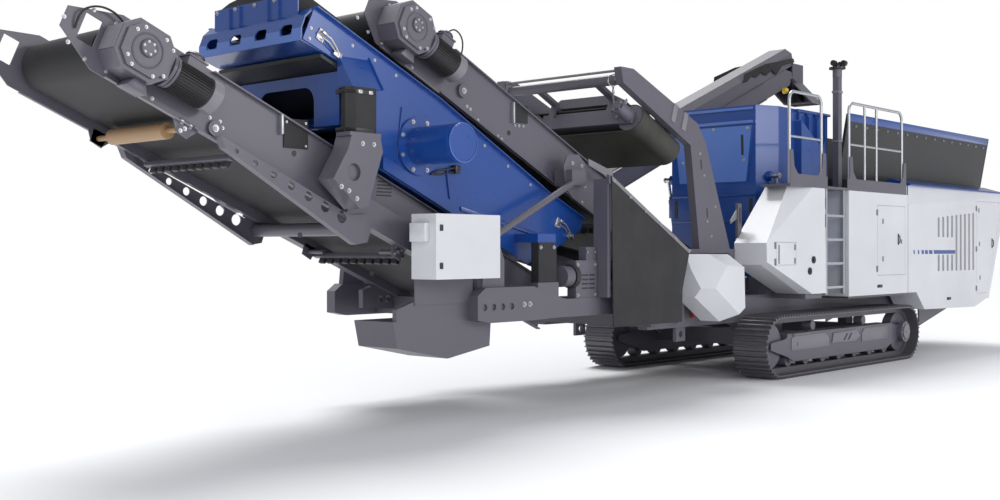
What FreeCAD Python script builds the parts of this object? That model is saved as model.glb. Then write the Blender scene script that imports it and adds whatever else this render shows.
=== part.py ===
import FreeCAD, Part
import math
import os

os.makedirs("parts", exist_ok=True)
Vec = FreeCAD.Vector
Y_DIR = Vec(0, 1, 0)
Z_DIR = Vec(0, 0, 1)

# All sizes are in millimetres. X runs from the screen towards the feed hopper, the near
# side is -Y, the far side is +Y and the ground is Z = 0. Places along X are counted from
# the point where the tracks' front wheels stand on the ground; place() then moves every
# piece so that the origin is half-way along the machine.

# Side of the block that corners are cut off with
CUT_SIZE = 6000

# Overall length
FRONT_END_X = -8430
REAR_END_X = 7500
MIDDLE_X = (FRONT_END_X + REAR_END_X) / 2
SEAT = 0.3

# Tracks
TRACK_Y = 1080
SHOE_WIDTH = 440
IDLER_X = 20
SPROCKET_X = 3520
AXLE_Z = 370
SHOE_FACE_R = 342
GROUSER_HEIGHT = AXLE_Z - SHOE_FACE_R
SHOE_THICKNESS = 16
LINK_HEIGHT = 64
LINK_WIDTH = 150
SHOE_COUNT = 48
GROUSERS = 3
LINK_TOP_R = SHOE_FACE_R - SHOE_THICKNESS
LINK_INNER_R = LINK_TOP_R - LINK_HEIGHT
WHEEL_WIDTH = 120
ROLLER_R = 80
ROLLER_COUNT = 7
CARRIER_R = 60
TRACK_BEAM_HALF = 110
TRACK_BEAM_LOW = 300
TRACK_BEAM_HIGH = 500
TRACK_PLATE = 16
TRACK_PLATE_LOW = 168

# Main frame
RAIL_INNER_Y = 640
RAIL_OUTER_Y = 760
RAIL_LOW = 640
RAIL_HIGH = 950
RAIL_FRONT_X = -1900
RAIL_REAR_X = 6400
TIE_SIZE = 200
TIE_Z = 420
TIE_PLACES = (800, 2750)
LUG = {"x": -1200, "y": 700, "z": 560, "hole_r": 35, "thickness": 40}

# Frame under the screen
BEAM_INNER_Y = 890
BEAM_OUTER_Y = 1010
BEAM_FRONT_X = -4800
BEAM_TOP_Z = 1030
BEAM_HOLES = {"x": (-4710, -4593, -4474, -4353), "z": 988, "r": 30, "depth": 20}
BEAM_LOW_Z = 860
BEAM_BELLY_X = -4050
BEAM_CROWN_Z = 1160
BEAM_FOOT_Z = 850
REAR_SEAT_Z = 1190

# Arms and legs under the screen's front end
SUPPORT_INNER_Y = 640
SUPPORT_OUTER_Y = 700
SUPPORT_TOP = -15
LEG = ((-6050, 1820), (-6320, 2050), (-6170, 2290), (-6130, 2410), (-5830, 2410), (-5800, 2290),
       (-5960, 1840))
LEG_HOLE = (-6110, 2109)
BOOT_LOW_Z = 2430
BOOT_HIGH_Z = 2790
BOOT_X = (-6150, -5820)
BOOT_Y = (-890, -720)
BOOT_CORNER = 60

# Screen box
SCREEN_HALF = 700
ARCH = {"x": -6090, "half": 370, "low": 2500, "high": 2930, "top": 2835, "corner": 130}
BEAM_SLOTS = {"y": (-500, -170, 170, 500), "half": 75, "r": 42, "z": 3232}
FLAP = {"x": -6410, "half": 560, "low": 3380, "high": 3530}
EDGE_FLANGE = 40
SCREEN_PLATE = 12
SCREEN_SIDE = ((-6350, 3410), (-4970, 2810), (-3510, 2060), (-2920, 1800), (-2960, 1690),
               (-3410, 1480), (-3780, 1360), (-4840, 1810), (-5660, 2160), (-5990, 2460),
               (-6090, 3000), (-6470, 3140))
EXCITER_X = -5220
EXCITER_Z = 2380
EXCITER_R = 165
EXCITER_REACH = 1240
EXCITER_FLANGE_R = 250

# Fines conveyor: its tail lies under the low end of the screen
FINES_TAIL_X = -3650
FINES_TAIL_Z = 1035
FINES_ANGLE = 23
FINES_LENGTH = 4690
FINES_BELT = 1000
FINES_GAP = 1176
FINES_DRUM_R = 170
FINES_LOW = 235
FINES_HIGH = 235
FINES_NOSE_LOW = 0.3 * FINES_LOW
SNUB_U = 4040
SNUB_V = -265
SNUB_R = 62
FINES_REACH = ((FINES_TAIL_X - FRONT_END_X - FINES_NOSE_LOW * math.sin(math.radians(FINES_ANGLE)))
               / math.cos(math.radians(FINES_ANGLE)) - FINES_LENGTH)
ARM_TIP = (-7240, 2330)
ARM_OUTER_Y = 716
ARM_PLATE = 14
ARM_FLANGE = 70
ARM_HOLES = 7
ARM_TUBE_R = 57
ARM_TUBE_U = 2300
FINES_REST_X = -4200

# Crusher discharge conveyor
DISCHARGE_TAIL_X = 250
DISCHARGE_TAIL_Z = 740
DISCHARGE_ANGLE = 25
DISCHARGE_LENGTH = 6250
DISCHARGE_BELT = 1000
DISCHARGE_GAP = 1176
DISCHARGE_DRUM_R = 170
DISCHARGE_LOW = 227
DISCHARGE_HIGH = 227
DISCHARGE_REST_X = -400

# Pan between the crusher and the discharge belt
PAN_FRONT = (230, 975)
PAN_REAR = (2240, 1090)
PAN_HALF = 490
PAN_WALL = 12
PAN_RIM_Z = 1150
PAN_RESTS = (650, 2180)

# Return conveyor on the far side
RETURN_Y = 1030
RETURN_TAIL_X = -3000
RETURN_TAIL_Z = 1280
RETURN_ANGLE = 21.9
RETURN_LENGTH = 7500
RETURN_BELT = 400
RETURN_GAP = 450
RETURN_FLANGE = 25
RETURN_DRUM_R = 110
RETURN_LOW = 130
RETURN_HIGH = 120
RETURN_PIVOT_X = -2750
RETURN_PIVOT_Y = 950
RETURN_PIVOT_Z = 1120
RETURN_REST_X = 1600
CHUTE_X = (4165, 4500)
CHUTE_TOP_Z = 4330
CHUTE_LOW_Z = 3700
CHUTE_SHIFT = 330

# Cross conveyor for the oversize
CROSS_X = -2700
CROSS_TAIL_Y = -820
CROSS_HEAD_Y = 620
CROSS_TAIL_Z = 1250
CROSS_ANGLE = 13
CROSS_LENGTH = (CROSS_HEAD_Y - CROSS_TAIL_Y) / math.cos(math.radians(CROSS_ANGLE))
CROSS_BELT = 500
CROSS_GAP = 560
CROSS_DRUM_R = 80
CROSS_DEPTH = 95

# Conveyor parts in common
BELT_THICKNESS = 12
PLATE = 12
FLANGE = 38
SHAFT_R = 35
IDLER_R = 50
IDLER_SPACING = 700

# Drives
GEARBOX_LENGTH = 440
GEARBOX_HEIGHT = 380
GEARBOX_DEPTH = 250
GEARBOX_CORNER = 95
MOTOR_STEPS = ((40, 95), (60, 122), (360, 112), (380, 120), (455, 118), (470, 95))

# Crusher
CRUSHER_FRONT_X = 620
CRUSHER_REAR_X = 2250
CRUSHER_HALF = 740
CRUSHER_NOSE_HALF = 610
CRUSHER_NOSE = 330
CRUSHER_LOW = 1160
CRUSHER_SPLIT = 2220
CRUSHER_TOP = 3270
CRUSHER_WALL = 25
LID_REAR_X = 1350
LID_CLEARANCE = 6
CYLINDER_FOOT = (1000, 1600)
CYLINDER_EYE = (800, 2400)
CYLINDER_Y = CRUSHER_HALF + 45
CYLINDER_R = 38
CYLINDER_ROD_R = 20
CYLINDER_BODY = 560
LID_BOSS_R = 60
ROTOR_X = 1430
ROTOR_Z = 1720
ROTOR_R = 380
ROTOR_HALF = 560
BAR_COUNT = 4

# Feeder and hopper
HOPPER_FRONT_X = 2450
HOPPER_RIM_Z = 3290
HOPPER_FOOT_Z = 2430
HOPPER_FOOT_Y = 800
HOPPER_RIM_Y = 950
HOPPER_WALL = 40
HOPPER_REAR_X = REAR_END_X - HOPPER_WALL
TROUGH_HALF = 620
TROUGH_LOW = 1900
TROUGH_WALL = 20
TROUGH_POSTS = (2500, 4150, 6250)

# Covers on the sides
SIDE_Y = 1250
COVER_INNER_Y = 830
COVER_WALL = 30
FLOOR_Z = 2240
FRONT_CABINET_LOW = 960
FRONT_CABINET = ((460, FLOOR_Z), (1170, FLOOR_Z), (1200, FRONT_CABINET_LOW), (730, FRONT_CABINET_LOW),
                 (-240, 1320), (-250, 1570))
CABINET_FACETS = (((848, -SIDE_Y, FLOOR_Z), (-250, -SIDE_Y, 1570), (460, -1120, FLOOR_Z)),
                  ((730, -SIDE_Y, 1000), (-240, -SIDE_Y, 1350), (760, -1170, FRONT_CABINET_LOW)))
MID_FRONT_X = 1820
MID_REAR_X = 3610
MID_LOW = 900
HOOD_FRONT_X = 3625
HOOD_TOP_Z = 2380
HOOD_SIDE = ((3625, HOOD_TOP_Z), (7350, HOOD_TOP_Z), (7350, 2150), (6680, 760), (6070, 620),
             (4180, 650), (3900, 900), (3625, 900))
HOOD_FACETS = (((3625, -SIDE_Y, 2105), (7350, -SIDE_Y, 2335), (3625, -1190, HOOD_TOP_Z)),)
DECK_THICKNESS = 30
ENGINE = {"x": (4300, 6000), "half": 450, "top": 1850}

# Rubber curtain between the screen and the magnet: its upper edge slopes down to the rear
CURTAIN_X = (-3050, -1690)
CURTAIN_TOP = (2210, 1494)
CURTAIN_LOW = 740
CURTAIN_Y = -1150
CURTAIN_THICKNESS = 12

# Doors
DOOR_DEPTH = 15
DOOR_GAP = 6
DOOR_LEDGE = 25
FRONT_DOOR = ((-30, 1310), (450, 1310), (450, 1580), (-30, 1580))
SIDE_DOOR = ((2650, 1150), (3520, 1150), (3520, 2080), (2650, 2080))
HOOD_DOOR = ((6150, 820), (6600, 820), (7180, 2130), (7180, 2235), (6150, 2235))
CONTROL_BOX = ((-5490, 1250), (-4710, 1790))
CONTROL_Y = 1160
CONTROL_DEPTH = 260
LOUVRE_X = (4650, 5980)
LOUVRE_LOW = 1183
LOUVRE_TOPS = (1955, 2048)
LOUVRE_GAP = (1414, 1673)
LOUVRE_COUNT = 9
LOUVRE_SHORT = 4
LOUVRE_WIDTH = 70

# Platform floor
FLOOR_THICKNESS = 30
KICK_HEIGHT = 150
RAIL_TUBE_R = 19
POST_TUBE_R = 17
MID_TUBE_R = 14
HANDRAIL_Z = 3360
HANDRAIL_BEND = 110
MIDRAIL_Z = 2830
LADDER_FRONT_X = 1240
LADDER_REAR_X = 1780
RUNG_PITCH = 296
RUNG_FIRST_Z = 1024
RUNG_COUNT = 4

# Magnet
MAGNET_FRAME_Y = 850
MAGNET_ARM_WIDTH = 90
MAGNET_X = -1750
MAGNET_Z = 2720
MAGNET_DRUM_Y = 680
MAGNET_DRUM_R = 148
MAGNET_BELT_HALF = 380
MAGNET_PLATE = 30
MAGNET_HANGER_Y = 400
MAGNET_BAR_TOP = 220
MAGNET_TUBE_R = 55
MAGNET_TUBES = ((-2370, 3250), (-1480, 3030))


def block(low, high):
    return Part.makeBox(high[0] - low[0], high[1] - low[1], high[2] - low[2], Vec(*low))


def polygon(points):
    ring = [Vec(*p) for p in points]
    return Part.Face(Part.makePolygon(ring + [ring[0]]))


def slab_xz(points, y_low, y_high):
    face = polygon([(x, y_low, z) for x, z in points])
    return face.extrude(Vec(0, y_high - y_low, 0))


def slab_yz(points, x_low, x_high):
    face = polygon([(x_low, y, z) for y, z in points])
    return face.extrude(Vec(x_high - x_low, 0, 0))


def slab_xy(points, z_low, z_high):
    face = polygon([(x, y, z_low) for x, y in points])
    return face.extrude(Vec(0, 0, z_high - z_low))


def octagon(first, second, corner):
    # A rectangle with its corners cut off, from its limits along two directions.
    return ((first[0] + corner, second[0]), (first[1] - corner, second[0]), (first[1], second[0] + corner),
            (first[1], second[1] - corner), (first[1] - corner, second[1]), (first[0] + corner, second[1]),
            (first[0], second[1] - corner), (first[0], second[0] + corner))


def oblong(y_middle, half, radius, z, x_low, x_high):
    # A slot with round ends that goes through along X.
    straight = half - radius
    ends = [rod((x_low, y_middle + side * straight, z), (x_high, y_middle + side * straight, z), radius)
            for side in (-1, 1)]
    return fuse(ends + [block((x_low, y_middle - straight, z - radius),
                              (x_high, y_middle + straight, z + radius))])


def strip_xz(line, depth, y_low, y_high):
    # A strip that follows a line and hangs down from it by its depth.
    return slab_xz(list(line) + [(x, z - depth) for x, z in reversed(line)], y_low, y_high)


def trimmed(shape, facets, inset):
    # Cuts corners off along planes through three points each, moved inwards by the inset.
    for corner_a, corner_b, corner_c in facets:
        a = Vec(*corner_a)
        normal = (Vec(*corner_b) - a).cross(Vec(*corner_c) - a).normalize()
        if normal.y > 0:
            normal = normal * -1
        knife = Part.makeBox(2 * CUT_SIZE, 2 * CUT_SIZE, CUT_SIZE, Vec(-CUT_SIZE, -CUT_SIZE, 0))
        knife.Placement = FreeCAD.Placement(a - normal * inset, FreeCAD.Rotation(Z_DIR, normal))
        shape = shape.cut(knife)
    return shape


def rod(start, end, radius):
    a = Vec(*start)
    b = Vec(*end)
    return Part.makeCylinder(radius, (b - a).Length, a, b - a)


def fuse(shapes):
    if len(shapes) == 1:
        return shapes[0]
    return shapes[0].multiFuse(shapes[1:]).removeSplitter()


def mirror_y(shape):
    return shape.mirror(Vec(0, 0, 0), Y_DIR)


def both_sides(shape):
    return [shape, mirror_y(shape)]


def stadium(x_low, x_high, z, radius, y_low, y_high):
    # A flat bar with round ends, such as the space that a belt encloses.
    lower = Part.LineSegment(Vec(x_low, y_low, z - radius), Vec(x_high, y_low, z - radius))
    head = Part.Arc(Vec(x_high, y_low, z - radius), Vec(x_high + radius, y_low, z),
                    Vec(x_high, y_low, z + radius))
    upper = Part.LineSegment(Vec(x_high, y_low, z + radius), Vec(x_low, y_low, z + radius))
    tail = Part.Arc(Vec(x_low, y_low, z + radius), Vec(x_low - radius, y_low, z),
                    Vec(x_low, y_low, z - radius))
    wire = Part.Wire([edge.toShape() for edge in (lower, head, upper, tail)])
    return Part.Face(wire).extrude(Vec(0, y_high - y_low, 0))


# Tracks

def loop_point(travel, radius):
    # A point of the track's loop: travel is counted along the shoes' outer face, radius is
    # the distance from the wheels' axes.
    span = SPROCKET_X - IDLER_X
    arc = math.pi * SHOE_FACE_R
    if travel < span:
        return (IDLER_X + travel, AXLE_Z - radius)
    travel -= span
    if travel < arc:
        turn = travel / SHOE_FACE_R
        return (SPROCKET_X + radius * math.sin(turn), AXLE_Z - radius * math.cos(turn))
    travel -= arc
    if travel < span:
        return (SPROCKET_X - travel, AXLE_Z + radius)
    turn = (travel - span) / SHOE_FACE_R
    return (IDLER_X - radius * math.sin(turn), AXLE_Z + radius * math.cos(turn))


def track_loop():
    loop_length = 2 * (SPROCKET_X - IDLER_X) + 2 * math.pi * SHOE_FACE_R
    rib_pitch = loop_length / (SHOE_COUNT * GROUSERS)
    # One rib: share of the pitch, and height over the shoe's face.
    rib = ((0.00, 0), (0.10, GROUSER_HEIGHT), (0.30, GROUSER_HEIGHT), (0.42, 0))
    outline = []
    for index in range(SHOE_COUNT * GROUSERS):
        for share, height in rib:
            outline.append(loop_point((index + share) * rib_pitch, SHOE_FACE_R + height))
    half = SHOE_WIDTH / 2
    shoes = slab_xz(outline, -half, half)
    shoes = shoes.cut(stadium(IDLER_X, SPROCKET_X, AXLE_Z, LINK_TOP_R, -half, half))
    link_half = LINK_WIDTH / 2
    links = stadium(IDLER_X, SPROCKET_X, AXLE_Z, LINK_TOP_R, -link_half, link_half)
    links = links.cut(stadium(IDLER_X, SPROCKET_X, AXLE_Z, LINK_INNER_R, -link_half, link_half))
    loop = fuse([shoes, links])
    loop.translate(Vec(0, -TRACK_Y, 0))
    return loop


def roller_places():
    first = IDLER_X + 430
    last = SPROCKET_X - 430
    step = (last - first) / (ROLLER_COUNT - 1)
    return [first + index * step for index in range(ROLLER_COUNT)]


def track_frame():
    half = TRACK_BEAM_HALF
    beam_front = IDLER_X + LINK_INNER_R + 60
    beam_rear = SPROCKET_X - LINK_INNER_R - 40
    pieces = [block((beam_front, -half, TRACK_BEAM_LOW), (beam_rear, half, TRACK_BEAM_HIGH))]
    outline = ((IDLER_X - 60, 330), (IDLER_X - 60, 410), (beam_front - 60, 440),
               (beam_front + 120, TRACK_BEAM_HIGH), (beam_rear - 60, TRACK_BEAM_HIGH),
               (SPROCKET_X + 40, 440), (SPROCKET_X + 40, 300), (beam_rear, 230),
               (beam_rear - 160, TRACK_PLATE_LOW), (beam_front + 160, TRACK_PLATE_LOW),
               (beam_front, 230))
    for side in (-1, 1):
        inner = side * (half - TRACK_PLATE)
        outer = side * half
        pieces.append(slab_xz(outline, min(inner, outer), max(inner, outer)))
    frame = fuse(pieces)
    frame.translate(Vec(0, -TRACK_Y, 0))
    return frame


def track_wheels():
    gap = TRACK_BEAM_HALF - TRACK_PLATE
    wheel_half = WHEEL_WIDTH / 2
    pieces = []
    for x in (IDLER_X, SPROCKET_X):
        wheel = rod((x, -wheel_half, AXLE_Z), (x, wheel_half, AXLE_Z), LINK_INNER_R - SEAT)
        axle = rod((x, -gap, AXLE_Z), (x, gap, AXLE_Z), 45)
        pieces.append(fuse([wheel, axle]))
    roller_z = AXLE_Z - LINK_INNER_R + ROLLER_R + SEAT
    for x in roller_places():
        roller = rod((x, -wheel_half, roller_z), (x, wheel_half, roller_z), ROLLER_R)
        axle = rod((x, -gap, roller_z), (x, gap, roller_z), 30)
        pieces.append(fuse([roller, axle]))
    hub = rod((SPROCKET_X, -TRACK_BEAM_HALF, AXLE_Z),
              (SPROCKET_X, -TRACK_BEAM_HALF - 70, AXLE_Z), 140)
    pieces.append(hub)
    carrier_z = AXLE_Z + LINK_INNER_R - CARRIER_R - SEAT
    for x in (IDLER_X + 1050, SPROCKET_X - 1050):
        carrier = rod((x, -wheel_half, carrier_z), (x, wheel_half, carrier_z), CARRIER_R)
        post = block((x - 30, -30, TRACK_BEAM_HIGH), (x + 30, 30, carrier_z))
        pieces.append(fuse([carrier, post]))
    for piece in pieces:
        piece.translate(Vec(0, -TRACK_Y, 0))
    return pieces


# Frames

def chassis_frame():
    pieces = []
    for rail in both_sides(block((RAIL_FRONT_X, -RAIL_OUTER_Y, RAIL_LOW),
                                 (RAIL_REAR_X, -RAIL_INNER_Y, RAIL_HIGH))):
        pieces.append(rail)
    reach = TRACK_Y - TRACK_BEAM_HALF
    for x in TIE_PLACES:
        pieces.append(block((x, -reach, TIE_Z - 120), (x + TIE_SIZE, reach, TIE_Z + 80)))
        for side in (-1, 1):
            low_y = min(side * RAIL_INNER_Y, side * RAIL_OUTER_Y)
            pieces.append(block((x, low_y, TIE_Z), (x + TIE_SIZE, low_y + 120, RAIL_LOW)))
    # Lashing eyes under the front ends of the rails.
    half = LUG["thickness"] / 2
    for side in (-1, 1):
        y = side * LUG["y"]
        plate = block((LUG["x"] - 90, y - half, LUG["z"] - 80), (LUG["x"] + 90, y + half, RAIL_LOW))
        eye = rod((LUG["x"], y - half, LUG["z"]), (LUG["x"], y + half, LUG["z"]), LUG["hole_r"])
        pieces.append(plate.cut(eye))
    # Three-cornered gussets under the rear ends of the rails.
    for part in both_sides(slab_xz(((5150, RAIL_LOW), (RAIL_REAR_X, RAIL_LOW), (6300, 590), (5170, 350)),
                                   -RAIL_OUTER_Y, -RAIL_OUTER_Y + 20)):
        pieces.append(part)
    for x in (3600, RAIL_REAR_X - 150):
        pieces.append(block((x, -RAIL_INNER_Y, RAIL_LOW + 60), (x + 120, RAIL_INNER_Y, RAIL_HIGH)))
    # Crusher seat: two pads on the rails.
    for side in (-1, 1):
        low_y = min(side * 500, side * RAIL_OUTER_Y)
        pieces.append(block((CRUSHER_FRONT_X, low_y, RAIL_HIGH),
                            (CRUSHER_REAR_X, low_y + 260, CRUSHER_LOW)))
    # Brackets on the rails under the front posts of the trough.
    for side in (-1, 1):
        low_y = min(side * 500, side * RAIL_INNER_Y)
        pieces.append(block((TROUGH_POSTS[0], low_y, RAIL_HIGH - 80),
                            (TROUGH_POSTS[0] + 120, low_y + 140, RAIL_HIGH)))
    # Outriggers under the cabinets, and cross-members under the pan and the discharge belt.
    pieces.append(block((1900, -1200, MID_LOW - 30), (3500, -RAIL_INNER_Y, MID_LOW)))
    pieces.append(block((760, -1200, MID_LOW), (1180, -RAIL_INNER_Y, FRONT_CABINET_LOW)))
    slope = (PAN_REAR[1] - PAN_FRONT[1]) / (PAN_REAR[0] - PAN_FRONT[0])
    for x in PAN_RESTS:
        heights = [PAN_FRONT[1] + (end - PAN_FRONT[0]) * slope for end in (x - 50, x + 50)]
        pieces.append(slab_xz(((x - 50, RAIL_LOW + 60), (x - 50, heights[0]), (x + 50, heights[1]),
                               (x + 50, RAIL_LOW + 60)), -RAIL_INNER_Y, RAIL_INNER_Y))
    pieces.append(rest_block((DISCHARGE_TAIL_X, DISCHARGE_TAIL_Z), DISCHARGE_ANGLE, -1, DISCHARGE_LOW,
                             DISCHARGE_REST_X, 100, RAIL_LOW + 10, RAIL_INNER_Y))
    return fuse(pieces)


def hood_floor():
    return block((HOOD_FRONT_X + 40, -SIDE_Y + COVER_WALL, RAIL_HIGH),
                 (RAIL_REAR_X, SIDE_Y - COVER_WALL, RAIL_HIGH + DECK_THICKNESS))


def frame_posts():
    # Posts under the feeder trough, and the tall one that the return conveyor rests on.
    pieces = []
    for x in TROUGH_POSTS:
        foot = RAIL_HIGH + DECK_THICKNESS if x > HOOD_FRONT_X else RAIL_HIGH
        for side in (-1, 1):
            y = side * (TROUGH_HALF - 60)
            pieces.append(block((x, y - 60, foot), (x + 120, y + 60, TROUGH_LOW)))
    saddle = rest_block((RETURN_TAIL_X, RETURN_TAIL_Z), RETURN_ANGLE, 1, RETURN_LOW,
                        RETURN_REST_X, 100, RAIL_LOW + 60, 50)
    saddle.translate(Vec(0, RAIL_OUTER_Y + 50, 0))
    pieces.append(saddle)
    return pieces



def screen_chassis():
    pieces = []
    # Side beam: deep in the middle, with a nose that carries the front legs.
    outline = ((BEAM_FRONT_X, 880), (BEAM_FRONT_X, 1090), (BEAM_FRONT_X + 100, BEAM_CROWN_Z),
               (BEAM_BELLY_X, BEAM_CROWN_Z), (-3600, BEAM_TOP_Z), (RAIL_FRONT_X, BEAM_TOP_Z),
               (RAIL_FRONT_X, BEAM_LOW_Z), (-3700, BEAM_LOW_Z), (BEAM_BELLY_X, BEAM_FOOT_Z),
               (BEAM_FRONT_X + 150, BEAM_FOOT_Z))
    beam = slab_xz(outline, -BEAM_OUTER_Y, -BEAM_INNER_Y)
    for x in BEAM_HOLES["x"]:
        beam = beam.cut(rod((x, -BEAM_OUTER_Y, BEAM_HOLES["z"]),
                            (x, -BEAM_OUTER_Y + BEAM_HOLES["depth"], BEAM_HOLES["z"]), BEAM_HOLES["r"]))
    pieces.extend(both_sides(beam))
    # Carrier of the guard box and of the control cabinet, in front of the near beam.
    pieces.append(slab_xz(((-5650, 900), (-5650, 1000), (-5450, 1060), (-4700, 1100), (-4700, 900)),
                          -BEAM_INNER_Y, -BEAM_INNER_Y + 50))
    pieces.append(block((RAIL_FRONT_X - 120, -BEAM_INNER_Y, RAIL_LOW + 40),
                        (RAIL_FRONT_X, BEAM_INNER_Y, RAIL_HIGH)))
    pieces.append(block((CROSS_X - 60, -BEAM_INNER_Y, 870), (CROSS_X + 60, BEAM_INNER_Y, 950)))
    pieces.append(rest_block((FINES_TAIL_X, FINES_TAIL_Z), FINES_ANGLE, -1, FINES_LOW,
                             FINES_REST_X, 100, BEAM_LOW_Z, BEAM_INNER_Y))
    # Arms beside the fines conveyor, with feet on the cross-member, and legs on them that
    # carry the front spring seats of the screen.
    tail = (FINES_TAIL_X, FINES_TAIL_Z)
    corners = [incline_point(tail, FINES_ANGLE, -1, u, v)
               for u, v in ((500, SUPPORT_TOP), (2480, SUPPORT_TOP), (2480, -FINES_LOW), (830, -FINES_LOW))]
    arm = slab_xz(corners + [(-4660, 1104), (-4660, 930), (-4030, 900)], -SUPPORT_OUTER_Y, -SUPPORT_INNER_Y)
    for x in (-4430, -4330, -4210):
        arm = arm.cut(rod((x, -SUPPORT_OUTER_Y, 1010), (x, -SUPPORT_INNER_Y, 1010), 34))
    leg = slab_xz(LEG, -BEAM_INNER_Y, -SUPPORT_OUTER_Y)
    (hole_x, hole_z) = LEG_HOLE
    leg = leg.cut(rod((hole_x, -BEAM_INNER_Y, hole_z), (hole_x, -BEAM_INNER_Y + 30, hole_z), 70))
    seat = block((-6150, -BEAM_INNER_Y, BOOT_LOW_Z - 30), (-5820, -SUPPORT_OUTER_Y - 20, BOOT_LOW_Z))
    pieces.extend(both_sides(fuse([arm, leg, seat])))
    # Rear spring seats, posts of the control cabinet and the return conveyor's pivot.
    for part in both_sides(block((-3980, -1000, BEAM_TOP_Z), (-3680, -900, REAR_SEAT_Z))):
        pieces.append(part)
    pieces.append(block((-5450, -CONTROL_Y + CONTROL_DEPTH, BEAM_TOP_Z), (-4750, -BEAM_INNER_Y, 1700)))
    pieces.append(rod((RETURN_PIVOT_X, RETURN_PIVOT_Y, BEAM_TOP_Z - 20),
                      (RETURN_PIVOT_X, RETURN_PIVOT_Y, RETURN_PIVOT_Z), 45))
    # Carrier of the rubber curtain.
    (front, rear) = CURTAIN_X
    (front_top, rear_top) = CURTAIN_TOP
    face = CURTAIN_Y + CURTAIN_THICKNESS
    pieces.append(slab_xz(((front - 30, front_top - 70), (front - 30, front_top + 10),
                           (rear - 10, rear_top + 2),
                           (rear - 10, rear_top - 78)), face, face + 28))
    for x, z_top in ((front - 30, front_top - 30), (rear - 290, rear_top + 116)):
        pieces.append(block((x, face + 18, BEAM_TOP_Z), (x + 50, -950, z_top)))
    return fuse(pieces)


def screen_mounts():
    # Rubber covers over the springs: four solids, one at each corner of the screen.
    pieces = []
    front = slab_xy(octagon(BOOT_X, BOOT_Y, BOOT_CORNER), BOOT_LOW_Z + SEAT, BOOT_HIGH_Z)
    rear = block((-3960, -990, REAR_SEAT_Z + SEAT), (-3700, -900, 1560))
    for shape in (front, rear):
        pieces.extend(both_sides(shape))
    return pieces


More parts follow.
